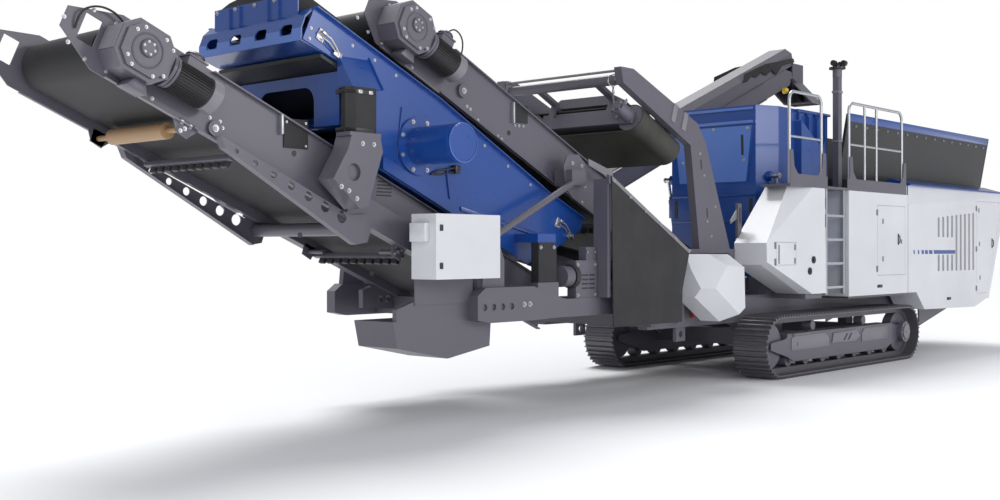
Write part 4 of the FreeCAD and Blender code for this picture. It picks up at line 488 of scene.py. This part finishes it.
clips = Piece("boot_clips", "zinc")
for side in (-1, 1):
    for x in (-6045, -5935):
        low, high = sorted((side * 885, side * 897))
        clips.block((x - 22, low, 2738), (x + 22, high, 2768), 3)
        clips.bolt((x, side * 895, 2753), (0, side, 0), 7)
clips.done()
bands = Piece("boot_bands", "black")
for side in (-1, 1):
    for z in (2432, 2735):
        corners = ((-6154, -715), (-6154, -826), (-6086, -894), (-5884, -894), (-5816, -826), (-5816, -715))
        bands.prism([(x, -side * y, z) for x, y in corners], (0, 0, 36), 3)
bands.done()

clamps = Piece("toggle_clamps", "steel")
for side in (-1, 1):
    for x, z, slope in ((-6310, 3195, -0.55), (-3340, 1760, -0.5)):
        run = Vector((1, 0, slope)).normalized()
        rise = Vector((-run.z, 0, run.x))

        def spot(along, up, out, x=x, z=z, run=run, rise=rise, side=side):
            place = Vector((x, side * (PLATE_FACE + out), z)) + run * along + rise * up
            return tuple(place)

        clamps.prism([spot(-20, -45, 0), spot(60, -45, 0), spot(60, 50, 0), spot(-20, 50, 0)],
                     (0, side * 10, 0), 2)
        clamps.prism([spot(-6, 8, 10), spot(48, 8, 10), spot(48, 30, 10), spot(-6, 30, 10)],
                     (0, side * 40, 0), 2)
        clamps.pipe([spot(20, 18, 35), spot(90, 20, 42), spot(170, -4, 36), spot(235, -30, 24)], 8)
        clamps.pipe([spot(20, -18, 35), spot(100, -16, 38), spot(200, -36, 24)], 6)
        clamps.prism([spot(180, -62, 0), spot(265, -62, 0), spot(265, -8, 0), spot(180, -8, 0)],
                     (0, side * 26, 0), 3)
        for along, up in ((-4, 36), (-4, -30), (44, -30), (225, -35)):
            clamps.bolt(spot(along, up, 12 if along < 100 else 26), (0, side, 0), 8)
clamps.done()

lever = Piece("tension_lever", "black")
lever.pipe([(-5076, -712, 2150), (-4990, -735, 2185), (-4880, -738, 2200), (-4800, -735, 2215)], 9)
lever.pipe([(-5076, -712, 2150), (-4960, -722, 2150), (-4800, -728, 2180)], 7)
lever.block((-4810, -752, 2165), (-4745, -700, 2240), 6)
lever.done()

ribs = Piece("screen_stiffeners", "blue")
for side in (-1, 1):
    for x_low, z_low, x_high, z_high in ((-4890, 2215, -4840, 1925), (-5420, 2700, -5490, 2230)):
        ribs.prism([(x_low, side * 700, z_low), (x_low + 12, side * 700, z_low),
                    (x_high + 12, side * 700, z_high), (x_high, side * 700, z_high)], (0, side * 14, 0))
    ribs.prism([(-4700, side * 700, 1840), (-3420, side * 700, 1570), (-3420, side * 700, 1610),
                (-4700, side * 700, 1880)], (0, side * 16, 0), 4)
ribs.hoop((EXCITER_X, -END_FACE, EXCITER_Z), NEAR, 158, 5)
ribs.hoop((EXCITER_X, END_FACE, EXCITER_Z), FAR, 158, 5)
ribs.done()

# Paler blue rings round the ends of the exciter: painted highlight on their rounded edges.
rims = Piece("exciter_painted_highlight", "blue_painted_light")
rims.hoop((EXCITER_X, 2 - END_FACE, EXCITER_Z), NEAR, 163, 4, 48)
rims.hoop((EXCITER_X, END_FACE - 2, EXCITER_Z), FAR, 163, 4, 48)
rims.done()

# A paler blue skin on the lit front face of the beam, between its slots: painted light.
lit = Piece("front_beam_painted_light", "blue_painted_light")
slots = (-500, -170, 170, 500)
lit.block((-6483, -686, 3132), (-6480, 686, 3186))
for left, right in zip((-686,) + tuple(y + 77 for y in slots), tuple(y - 77 for y in slots) + (686,)):
    lit.block((-6483, left, 3186), (-6480, right, 3230))
lit.done()

cover = Piece("screen_dust_cover", "skirt")
arch = [(-560, 3535), (-560, 3560), (-430, 3600), (-120, 3620), (150, 3612), (380, 3575), (500, 3535),
        (570, 3470), (560, 3420)]
cover.prism([(-6392, y, z) for y, z in arch] + [(-6392, -540, 3400)], (430, 0, -190), 4)
cover.done()

# %% [markdown]
# ## Conveyor drives
#
# Each big conveyor is driven by a bevel gearbox that sits on the head drum's shaft, with its motor
# lying along the frame. The motor's body is a dark ribbed casting, so its fins are made one by one
# round the axis; the fan cowl at the end is a smooth painted drum. The torque arm, the terminal box
# and the ring of cover bolts complete it.

# %% Conveyor drives
MOTOR_ROOT = 264
MOTOR_Y = -725
BODY_R = 112
FIN_R = 129
FIN_HALF = 2.2
FIN_COUNT = 40


def dress_drive(tag, frame_of, length):
    root = length - MOTOR_ROOT
    fins = Piece(tag + "_motor_fins", "dark")
    fins.rod(frame_of(root - 62, MOTOR_Y, 0), frame_of(root - 358, MOTOR_Y, 0), 116, 32)
    for step in range(FIN_COUNT):
        angle = 2 * math.pi * step / FIN_COUNT
        y, v = math.cos(angle), math.sin(angle)
        # No fins where the terminal box stands.
        if v > 0.72 and abs(y) < 0.6:
            continue
        start = []
        for radius, way in ((BODY_R, -1), (FIN_R, -1), (FIN_R, 1), (BODY_R, 1)):
            start.append(frame_of(root - 70, MOTOR_Y + y * radius - way * v * FIN_HALF,
                                  v * radius + way * y * FIN_HALF))
        along = Vector(frame_of(root - 350, 0, 0)) - Vector(frame_of(root - 70, 0, 0))
        fins.prism(start, tuple(along))
    fins.done()
    cowl = Piece(tag + "_fan_cowl", "light_grey")
    cowl.rod(frame_of(root - 362, MOTOR_Y, 0), frame_of(root - 452, MOTOR_Y, 0), 125, 36)
    cowl.rod(frame_of(root - 452, MOTOR_Y, 0), frame_of(root - 472, MOTOR_Y, 0), 125, 36, 104)
    cowl.prism([frame_of(length + 178, y, v) for y, v in ((-622, -92), (-828, -92), (-828, 92), (-622, 92))],
               tuple(Vector(frame_of(5, 0, 0)) - Vector(frame_of(0, 0, 0))), 2)
    cowl.done()
    marks = Piece(tag + "_gearbox_bolts", "zinc")
    for u, v in ((-190, -110), (-190, 110), (-110, 155), (80, 155), (135, 105), (135, -105), (80, -155),
                 (-110, -155)):
        marks.bolt(frame_of(length - 44 + u * 0.92, -850, v * 0.92), NEAR, 9)
    for step in range(6):
        angle = math.pi * step / 3
        marks.bolt(frame_of(length - 44 + 44 * math.cos(angle), -864, 20 + 44 * math.sin(angle)), NEAR, 6)
    for u in (-330, -130, 60, 230, 380):
        marks.bolt(frame_of(length + u, -600, -190 + max(0, u - 230) * 0.3), NEAR, 10)
    for u in (120, 300, 470):
        marks.bolt(frame_of(length + u, -600, 150 - max(0, u - 300) * 0.9), NEAR, 10)
    marks.done()
    ring = Piece(tag + "_cover_ring", "grey")
    ring.hoop(frame_of(length - 44, -851, 0), NEAR, 118, 7)
    ring.hoop(frame_of(length - 44, -864, 20), NEAR, 58, 6)
    # Coupling flange between gearbox and motor, and the arm that holds the torque.
    ring.rod(frame_of(root - 6, MOTOR_Y, 0), frame_of(root - 30, MOTOR_Y, 0), 128, 28)
    ring.prism([frame_of(length - 150, -640, -190), frame_of(length - 60, -640, -190),
                frame_of(length - 20, -640, -262), frame_of(length - 190, -640, -262)], (0, -150, 0), 5)
    ring.rod(frame_of(root - 195, -725, 182), frame_of(root - 195, -725, 205), 62, 24)
    ring.rod(frame_of(root - 195, -725, 205), frame_of(root - 195, -725, 222), 72, 24, 60)
    ring.done()


dress_drive("fines", fines, 4690)
dress_drive("discharge", discharge, 6250)

# %% [markdown]
# ## Conveyor frames
#
# The frame plates carry what keeps a belt running straight: scraper combs under the return run, the
# brackets of the guide rollers, tension wheels and dark sensor plates in bright brackets. The lower
# edges get a paler strip, because the fold of a plate catches the light.

# %% Conveyor frames
edges = Piece("frame_edges", "light_grey")
for side in (-1, 1):
    for frame_of, length in ((fines, 4690), (discharge, 6250)):
        outer = 600 * side
        corners = [frame_of(length - 690, y, v) for y, v in ((outer, -238), (outer + side * 26, -238),
                                                              (outer + side * 26, -230), (outer, -230))]
        flat = Vector(frame_of(length + 60, 0, 0)) - Vector(frame_of(length - 690, 0, 0))
        edges.prism(corners, tuple(flat))
edges.done()

combs = Piece("belt_scrapers", "grey")
teeth = Piece("scraper_teeth", "dark")
for frame_of, places in ((fines, (3560, 1650)), (discharge, (2900,))):
    for u in places:
        combs.prism([frame_of(u, -586, -250), frame_of(u + 45, -586, -250), frame_of(u + 45, -586, -290),
                     frame_of(u, -586, -290)], (0, 1172, 0), 3)
        for step in range(10):
            y = -520 + step * 108
            teeth.prism([frame_of(u - 34, y, -270), frame_of(u + 12, y, -270), frame_of(u + 12, y, -335),
                         frame_of(u - 20, y, -335)], (0, 70, 0), 3)
combs.done()
teeth.done()

hangers = Piece("roller_hangers", "grey")
pins = Piece("roller_pins", "zinc")
for side in (-1, 1):
    for u, v in ((4040, -265), (1750, -265)):
        corners = [fines(u - 75, side * 588, v + 60), fines(u + 75, side * 588, v + 60),
                   fines(u + 62, side * 588, v - 48), fines(u - 50, side * 588, v - 60)]
        hangers.prism(corners, (0, side * 14, 0), 3)
        hangers.rod(fines(u, side * 378, v), fines(u, side * 590, v), 20, 16)
        for du, dv in ((-38, 34), (38, 34), (0, 0), (28, -30)):
            pins.bolt(fines(u + du, side * 602, v + dv), (0, side, 0), 11)
    # Belt tension wheel and its adjusting screw on the frame plate.
    hangers.rod(fines(3820, side * 600, -150), fines(3820, side * 626, -150), 58, 28)
    pins.bolt(fines(3820, side * 626, -150), (0, side, 0), 18)
    for du, dv in ((-70, 40), (-30, 74), (60, 60)):
        pins.bolt(fines(3820 + du, side * 600, -150 + dv), (0, side, 0), 9)
    hangers.rod(discharge(5300, side * 600, -60), discharge(5300, side * 630, -60), 62, 28)
    pins.bolt(discharge(5300, side * 630, -60), (0, side, 0), 18)
    for u, v in ((5180, -150), (5130, -150), (5000, -190), (4700, -190), (4640, -190), (3300, -180)):
        pins.bolt(discharge(u, side * 600, v), (0, side, 0), 10)
hangers.done()
pins.done()

panels = Piece("sensor_plates", "skirt")
panels.block((-6585, -612, 2290), (-6345, -600, 2520), 3)
panels.block((-3880, -612, 2700), (-3670, -600, 2870), 3)
panels.done()
bright = Piece("sensor_brackets", "zinc")
bright.block((-6628, -640, 2390), (-6606, -600, 2545), 2)
bright.block((-3905, -640, 2690), (-3886, -600, 2885), 2)
for x, z in ((-6560, 2492), (-6370, 2492), (-6370, 2312)):
    bright.bolt((x, -612, z), NEAR, 7)
for x in (-3850, -3790, -3730):
    bright.bolt((x, -604, 2672), NEAR, 9)
bright.done()
# Holes and slots in the frame plates are thin black discs and bars: painted shade in the openings.
holes = Piece("frame_opening_shade", "black")
holes.rod((-6478, -598, 2250), (-6478, -601.5, 2250), 24)
holes.rod((-3933, -598, 2594), (-3933, -601.5, 2594), 24)
for step in range(5):
    z = 1945 + step * 29
    holes.block((-5612 + step * 4, -601.5, z), (-5440 + step * 4, -598, z + 13))
for x, z in ((-6498, 1609), (-5749, 1302)):
    holes.rod((x, -698, z), (x, -702, z), 22)
holes.done()
print("conveyor frames dressed")

# %% [markdown]
# ## Magnet, curtain and struts
#
# The overband magnet hangs from two tubes across the arms. A safety chain backs up the hanger, clamp
# collars hold the tube in the arm, and a hydraulic motor with its hoses turns the belt. The rubber
# curtain beside it is only clamped under a flat bar, so its row of bolts is what one sees.

# %% Magnet and curtain
collars = Piece("magnet_collars", "light_grey")
for side in (-1, 1):
    low, high = (-862, -748) if side < 0 else (742, 862)
    for x in (-1500, -1300):
        top = 3360 - (x + 2270) * 0.3884
        collars.prism([(x - 28, low, top + 14), (x + 44, low, top - 12), (x - 20, low, top - 205),
                       (x - 92, low, top - 178)], (0, high - low, 0), 4)
collars.rod((-2410, -742, 3338), (-2410, 742, 3338), 15, 14)
for side in (-1, 1):
    collars.prism([(-2460, side * 742, 3230), (-2380, side * 742, 3230), (-2370, side * 742, 3365),
                   (-2450, side * 742, 3365)], (0, side * 16, 0), 3)
collars.done()

chain = Piece("safety_chain", "steel")
top, low = Vector((-2372, -660, 3192)), Vector((-2130, -500, 2955))
links = 11
for index in range(links):
    middle = top + (low - top) * (index + 0.5) / links
    along = (low - top).normalized()
    across = along.cross(Vector((0, 1, 0) if index % 2 else (1, 0, 0.3))).normalized()
    spots = []
    for step in range(14):
        angle = 2 * math.pi * step / 14
        spots.append(tuple(middle + along * (24 * math.cos(angle)) + across * (12 * math.sin(angle))))
    chain.pipe(spots, 4.5, 8, closed=True)
chain.hoop((-2370, -660, 3250), (0.35, 1, 0.2), 60, 6, 28)
chain.done()


def on_magnet(x, y, z):
    # The magnet hangs parallel to the conveyor under it.
    rise, run = math.sin(math.radians(25)), math.cos(math.radians(25))
    return (-1750 + x * run + z * rise, y, 2720 - x * rise + z * run)


motor = Piece("magnet_motor_fittings", "zinc")
for step in range(4):
    angle = math.radians(45 + 90 * step)
    motor.bolt(on_magnet(-632, -680 + 52 * math.cos(angle), 52 * math.sin(angle)),
               tuple(Vector(on_magnet(-1, 0, 0)) - Vector(on_magnet(0, 0, 0))), 9)
for y in (-715, -645):
    motor.rod(on_magnet(-560, y, 60), on_magnet(-560, y, 104), 16, 6)
    motor.rod(on_magnet(-560, y, 100), on_magnet(-560, y, 118), 11, 12)
for y in (-540, 540):
    for x in (-425, 425):
        motor.bolt(on_magnet(x, y, 0), tuple(Vector(on_magnet(x, 0, 0)) - Vector(on_magnet(0, 0, 0))), 12)
motor.done()

fixings = Piece("curtain_bolts", "zinc")
for x, z in ((-3042, 2170), (-2769, 2020), (-2513, 1890), (-2250, 1760), (-1978, 1620), (-1720, 1490)):
    fixings.bolt((x + 20, -1156, z - 8), NEAR, 11)
for x, z in ((-867, 1807), (-700, 1977), (-930, 2320), (-1010, 2560), (-780, 1640)):
    fixings.bolt((x, -850, z), NEAR, 10)
for x, z in ((-3213, 2359), (-3070, 2337), (-3120, 2262), (-3022, 2140)):
    fixings.bolt((x, -792, z - 20), NEAR, 13)
for x in (-4190, -4110):
    fixings.bolt((x, -1010, 1000), NEAR, 17)
for x, z in ((-4560, 1560), (-4500, 1330)):
    fixings.bolt((x, -960, z), NEAR, 15)
fixings.done()
strip = Piece("curtain_clamp_bar", "light_grey")
strip.prism([(-3050, -1150, 2208), (-1690, -1150, 1492), (-1690, -1150, 1450), (-3050, -1150, 2166)],
            (0, -6, 0), 2)
strip.prism([(-2960, -800, 2395), (-2560, -800, 2290), (-2560, -800, 2215), (-2640, -800, 2225),
             (-2960, -800, 2330)], (0, 10, 0), 2)
strip.done()
# Slots drawn as thin black plates on the magnet legs and on a lower post: painted shade.
leg_slots = Piece("leg_slot_painted_shade", "black")
for x, z in ((-867, 1903), (-990, 2440)):
    leg_slots.prism([(x - 16, -850.5, z + 50), (x + 8, -850.5, z + 56), (x + 22, -850.5, z - 50),
                     (x - 2, -850.5, z - 56)], (0, 3, 0))
leg_slots.block((-4575, -961, 1395), (-4545, -958, 1590))
leg_slots.done()
red = Piece("isolator_lever", "red")
red.block((-1075, -800, 735), (-1035, -770, 885), 6)
red.done()

# %% [markdown]
# ## Cross drive behind the curtain
#
# The short conveyor under the screen has a compact gear motor. Its louvred guard keeps stones off the
# fan, and the terminal box stands on top.

# %% Cross drive
guard = Piece("cross_drive_guard_and_louvre_shade", "dark")
# The dark strips are painted shade in the gaps of the louvres; the drum added after them is a dark part of
# the drive.
for row in range(4):
    z = 1115 + row * 42
    guard.block((-3330, -1002, z), (-3230, -999, z + 16))
    guard.block((-3215, -1002, z), (-3130, -999, z + 16))
guard.rod((-3470, -948, 1240), (-3410, -948, 1240), 112, 32)
guard.done()
guard_trim = Piece("cross_drive_trim", "zinc")
for x, z in ((-3390, 1060), (-3390, 1350), (-3120, 1060), (-3120, 1350), (-3390, 1205)):
    guard_trim.bolt((x, -1000, z), NEAR, 11)
for x in (-3240, -3120):
    guard_trim.bolt((x, -1000, 1470), NEAR, 7)
guard_trim.done()

# %% [markdown]
# ## The crusher
#
# The housing opens along a line half way up: the nose above it swings on its rear hinge, lifted by
# two cylinders. The front panel of the lid is painted a paler blue, a painted reflection of the bright sky.
# Its handle slot, its lock bolts and the stiff ribs of the housing are added here, and what belongs to
# the lid moves with the lid.

# %% Crusher details
# The paler blue panel and its two strips are a painted reflection of the bright sky on the lid's front.
panel = Piece("lid_front_painted_reflection", "blue_painted_light", "crusher_lid")
panel.prism([(606, -482, 2335), (606, -560, 3020), (606, 560, 3020), (606, 482, 2335)], (3, 0, 0))
panel.block((594, -585, 3046), (600, 585, 3084), 2)
panel.block((594, -585, 3214), (600, 585, 3246), 2)
panel.done()
# The handle slot is a thin dark plate on the lid: painted shade of the recess.
slot_shade = Piece("handle_slot_painted_shade", "dark", "crusher_lid")
slot_shade.prism([(604, -452, 2660), (604, -418, 2660), (604, -412, 2910), (604, -446, 2910)], (3, 0, 0))
slot_shade.done()
locks = Piece("lid_locks", "zinc", "crusher_lid")
for y, z in ((-21, 2996), (-505, 2989), (-455, 2600), (480, 2989), (430, 2600)):
    locks.bolt((606, y, z), AHEAD, 13)
for side in (-1, 1):
    locks.rod((800, side * 822, 2400), (800, side * 838, 2400), 34, 24)
    locks.bolt((800, side * 838, 2400), (0, side, 0), 15)
locks.done()
seams = Piece("casing_ribs", "blue")
LONG_RIB = ((738, 3245), (800, 3180), (800, 2920), (738, 2800))
SHORT_RIB = ((738, 3245), (775, 3200), (775, 3140), (738, 3130))
for side in (-1, 1):
    for x in (1420, 1640, 1860, 2080):
        # The first rib of the near side ends over the step box.
        outline = LONG_RIB if side > 0 or x > 1520 else SHORT_RIB
        seams.prism([(x, side * y, z) for y, z in outline], (14, 0, 0), 2)
    low, high = sorted((side * 738, side * 790))
    seams.block((1360, low, 3235), (2240, high, 3268), 3)
    seams.prism([(700, side * 600, 1900), (714, side * 600, 1900), (714, side * 600, 2180),
                 (700, side * 600, 2180)], (0, side * 110, 0), 2)
seams.block((604, -600, 1830), (620, 600, 1860), 3)
seams.block((604, -600, 2150), (620, 600, 2180), 3)
seams.done()
# Dark plates on the housing's front stand in for its slots: painted shade.
frame_slot = Piece("casing_slot_painted_shade", "dark")
for y in (-545, 545):
    frame_slot.block((616, y - 22, 1890), (621, y + 22, 2120))
frame_slot.done()
casing_bolts = Piece("casing_bolts", "zinc")
for y in (-560, -280, 0, 280, 560):
    casing_bolts.bolt((620, y, 1200), AHEAD, 13)
for side in (-1, 1):
    for x in (1420, 1560, 1700, 1840, 1980, 2120):
        casing_bolts.bolt((x, side * 740, 2270) if side > 0 else (x, -742, 2225), (0, side, 0), 12)
casing_bolts.done()
upright = Piece("hose_uprights", "grey")
upright.block((-190, -846, 1500), (-110, -806, 2030), 6)
upright.block((-190, -846, 1500), (-60, -780, 1520), 4)
upright.done()
gusset = Piece("hose_gusset", "light_grey")
gusset.prism([(-330, -830, 1830), (-190, -830, 1960), (-190, -830, 1850), (-330, -830, 1790)], (0, 12, 0), 3)
gusset.done()
# The slot in the upright is a thin black plate: painted shade.
upright_painted_shade = Piece("upright_painted_shade", "black")
upright_painted_shade.block((-166, -847.5, 1800), (-136, -845, 1980))
upright_painted_shade.done()

# %% [markdown]
# ## Head of the return conveyor
#
# Oversize stones fall back into the crusher here, so the head is closed with rubber: a jagged fringe
# hangs over each frame plate, and a soft apron closes the near side at the end. A yellow beacon warns
# while the belt runs.

# %% Return conveyor head
rubber = Piece("return_head_rubber", "skirt", "return_conveyor")
fringe = [(2700, 3880), (2720, 4010), (3300, 4215), (4164, 4400), (4200, 4345), (3820, 4245), (3640, 4090),
          (3500, 4150), (3350, 4050), (3200, 4080), (3060, 3990), (2920, 4000), (2800, 3905)]
rubber.prism([(x, 786, z) for x, z in fringe], (0, -9, 0), 2)
rubber.prism([(x, 1274, z) for x, z in fringe], (0, 9, 0), 2)
apron = [(4100, 4080), (4164, 4090), (4440, 3980), (4505, 3735), (4300, 3800), (4180, 3940)]
rubber.prism([(x, 786, z) for x, z in apron], (0, -9, 0), 2)
rubber.done()

beacon = Piece("warning_beacon", "yellow", "return_conveyor")
beacon.rod((3876, 790, 3880), (3876, 752, 3880), 46, 28)
beacon.ball((3876, 752, 3880), 46)
beacon.done()

# %% [markdown]
# ## Doors and covers
#
# Sheet covers are held by hinges and quarter-turn latches. The leaf of a hinge stays on the fixed
# frame, while the handle and the latch ride with the door. The rear hood also carries a stripe that
# starts as slanting dashes and ends as a solid bar, and a black plate close behind its openings, which
# is painted shade for the dark inside of the hood.

# %% Latches, hinges and handles
for body, places in (("front_cabinet_door", ((411, 1520, 14, 34), (411, 1362, 14, 34), (30, 1440, 10, 110))),
                     ("side_cabinet_door",
                      ((2815, 1868, 13, 34), (2815, 1370, 13, 34), (3395, 1600, 15, 30))),
                     ("hood_door", ((6240, 2093, 13, 32), (6262, 1580, 13, 32), (6290, 1059, 13, 32)))):
    latch = Piece(body + "_latches", "light_grey", body)
    for x, z, half_x, half_z in places:
        latch.block((x - half_x, -1258, z - half_z), (x + half_x, -1249, z + half_z), 3)
    latch.done()
for body, x, z in (("side_cabinet_door", 3301, 1630), ("hood_door", 6800, 1590)):
    grip = Piece(body + "_handle", "black", body)
    grip.block((x - 18, -1254, z - 78), (x + 18, -1249, z + 78), 3)
    bow = ((-1252, -60), (-1272, -40), (-1276, 0), (-1272, 40), (-1252, 60))
    grip.pipe([(x, y, z + rise) for y, rise in bow], 7)
    grip.done()
door_grip = Piece("control_door_latches", "black", "control_door")
for z in (1674, 1362):
    door_grip.block((-5448, -1196, z - 26), (-5412, -1187, z + 26), 4)
door_grip.done()
cabinet_box = Piece("control_side_box", "white")
cabinet_box.block((-5545, -1110, 1560), (-5490, -930, 1715), 5)
cabinet_box.done()
signal = Piece("stop_button", "red")
signal.rod((-4712, -1050, 1300), (-4690, -1050, 1300), 22, 20)
signal.ball((-4690, -1050, 1300), 20)
signal.done()

leaves = Piece("hinge_leaves", "light_grey")
for x, z in ((-62, 1350), (-62, 1540), (2628, 1980), (2628, 1240), (6126, 2120), (6126, 1500), (6126, 900)):
    leaves.block((x - 13, -1256, z - 38), (x + 13, -1249, z + 38), 3)
    leaves.rod((x + 14, -1257, z - 40), (x + 14, -1257, z + 40), 6, 12)
leaves.done()

grips = Piece("cover_grips", "black")
for x, z in ((2720, 1010), (5060, 775)):
    grips.block((x - 75, -1257, z - 20), (x + 75, -1249, z + 20), 6)
    grips.block((x - 50, -1262, z - 9), (x + 50, -1256, z + 9), 3)
for x, z in ((775, 1235), (870, 1370)):
    grips.rod((x, -1262, z), (x, -1249, z), 44, 24)
    grips.rod((x, -1270, z), (x, -1260, z), 24, 6)
grips.block((1172, -1252, 1990), (1192, -1200, 2130), 3)
grips.block((1172, -1252, 1765), (1192, -1200, 1925), 3)
grips.prism([(7030, -1210, 2330), (7120, -1210, 2330), (7160, -1210, 2210), (7110, -1210, 2190)],
            (0, -30, 0), 4)
grips.done()

stripe = Piece("hood_stripe", "blue")
for left, right in ((3795, 3836), (3941, 3989), (4071, 4148), (4189, 4287), (4330, 4450), (4500, 5300)):
    stripe.prism([(left + 14, -1250, 1430), (right + 14 if right < 5300 else right, -1250, 1430),
                  (right, -1250, 1484), (left, -1250, 1484)], (0, -1.5, 0))
stripe.done()
# A black plate behind the hood's openings on both sides: painted shade for the dark inside.
screen = Piece("hood_shade_plate", "black")
screen.block((4600, -1216, 1150), (6100, -1212, 2090))
screen.block((4600, 1212, 1150), (6100, 1216, 2090))
screen.done()
creases = Piece("cover_seams", "dark")
creases.block((3612, -1246, 912), (3622, -1235, 2380))
creases.done()

# %% [markdown]
# ## Hopper, mast and tracks
#
# The folding walls of the hopper have a blue edge angle and a row of fixing bolts below it. On the
# mast sit small lamps, three of them, on a round plate. The side frames of the tracks get their
# raised plates, their slots and the bolts of the travel drive's hub.

# %% Hopper, mast and tracks
for side, body in ((-1, "hopper_near"), (1, "hopper_far")):
    angle = Piece(body + "_edge", "blue", body)
    angle.prism([(2460, side * 941, 3190), (2460, side * 962, 3290), (2460, side * 948, 3296),
                 (2460, side * 930, 3190)], (4980, 0, 0), 2)
    angle.done()
    row = Piece(body + "_bolts", "zinc", body)
    for step in range(15):
        row.bolt((2700 + step * 330, side * 926, 3140), (0, side, -0.17), 11)
    row.done()

mast = Piece("mast_lamps", "black")
mast.rod((2250, -880, 3855), (2250, -880, 3880), 105, 28)
mast.rod((2250, -880, 3880), (2250, -880, 3905), 60, 24)
for dx, dy in ((-95, 0), (95, 0), (0, -95)):
    mast.rod((2250 + dx - 28, -880 + dy, 3925), (2250 + dx + 28, -880 + dy, 3925), 38, 20)
    mast.rod((2250 + dx, -880 + dy, 3870), (2250 + dx, -880 + dy, 3925), 12, 12)
mast.done()
mast_band = Piece("mast_bracket", "light_grey")
mast_band.block((2190, -930, 3540), (2310, -830, 3570), 3)
mast_band.block((2190, -930, 2900), (2310, -830, 2925), 3)
mast_band.done()

# Outline, height over the side frame and softness of each raised plate.
RAISED_PLATES = ((((430, 300), (430, 440), (520, 470), (1280, 470), (1380, 410), (1380, 300)), 9, 3),
                 (((2300, 300), (2300, 410), (2380, 470), (3080, 470), (3080, 300)), 9, 3),
                 (((1460, 330), (1500, 450), (2140, 470), (2240, 380), (2100, 320)), 14, 4))
plates = Piece("track_frame_plates", "light_grey")
# The dark slants and the narrow slot on the side frames are thin plates of painted shade in their openings.
ports = Piece("track_frame_painted_shade", "dark")
hubs = Piece("track_hub_bolts", "zinc")
for side in (-1, 1):
    face = side * 1190
    for outline, height, soft in RAISED_PLATES:
        plates.prism([(x, face, z) for x, z in outline], (0, side * height, 0), soft)
    low, high = sorted((face, face + side * 20))
    plates.block((470, low, 476), (860, high, 494), 3)
    slant_y = face + side * 14
    for x in (1760, 1880):
        slant = ((x, 350), (x + 90, 430), (x + 130, 430), (x + 40, 350))
        ports.prism([(u, slant_y, z) for u, z in slant], (0, side * 3, 0))
    low, high = sorted((face, face + side * 11))
    ports.block((560, low, 345), (572, high, 400))
    plates.rod((3520, side * 1260, 370), (3520, side * 1276, 370), 96, 32)
    for step in range(8):
        angle = math.pi * step / 4
        hubs.bolt((3520 + 118 * math.cos(angle), side * 1260, 370 + 118 * math.sin(angle)), (0, side, 0), 8)
    hubs.bolt((3520, side * 1275, 370), (0, side, 0), 14)
plates.done()
ports.done()
hubs.done()

# %% [markdown]
# ## Cables
#
# Two thin cables show against the white: one bows over the near head plate of the fines conveyor to
# its sensor, one loops from the terminal box of the discharge motor. Both ends are clamped on the
# machine.

# %% Cables
def cable(name, points, diameter):
    curve = bpy.data.curves.new(name, "CURVE")
    curve.dimensions = "3D"
    curve.bevel_depth = diameter / 2
    curve.bevel_resolution = 3
    spline = curve.splines.new("NURBS")
    spline.points.add(len(points) - 1)
    for spot, point in zip(spline.points, points):
        spot.co = (*mm(*point), 1)
    spline.order_u = 3
    spline.use_endpoint_u = True
    spline.resolution_u = 8
    curve.materials.append(finish["black"])
    result = bpy.data.objects.new(name, curve)
    scene.collection.objects.link(result)
    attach(result, "machine")


cable("head_sensor_cable", [
    (-8330, -612, 2980), (-8320, -640, 3090), (-8200, -655, 3150), (-8060, -650, 3125),
    (-7960, -640, 3040), (-7900, -612, 2975)], 0.016)
cable("discharge_motor_cable", [
    discharge(5800, -735, 195), discharge(5760, -735, 300), discharge(5640, -740, 310),
    discharge(5560, -740, 220), discharge(5545, -725, 124)], 0.014)
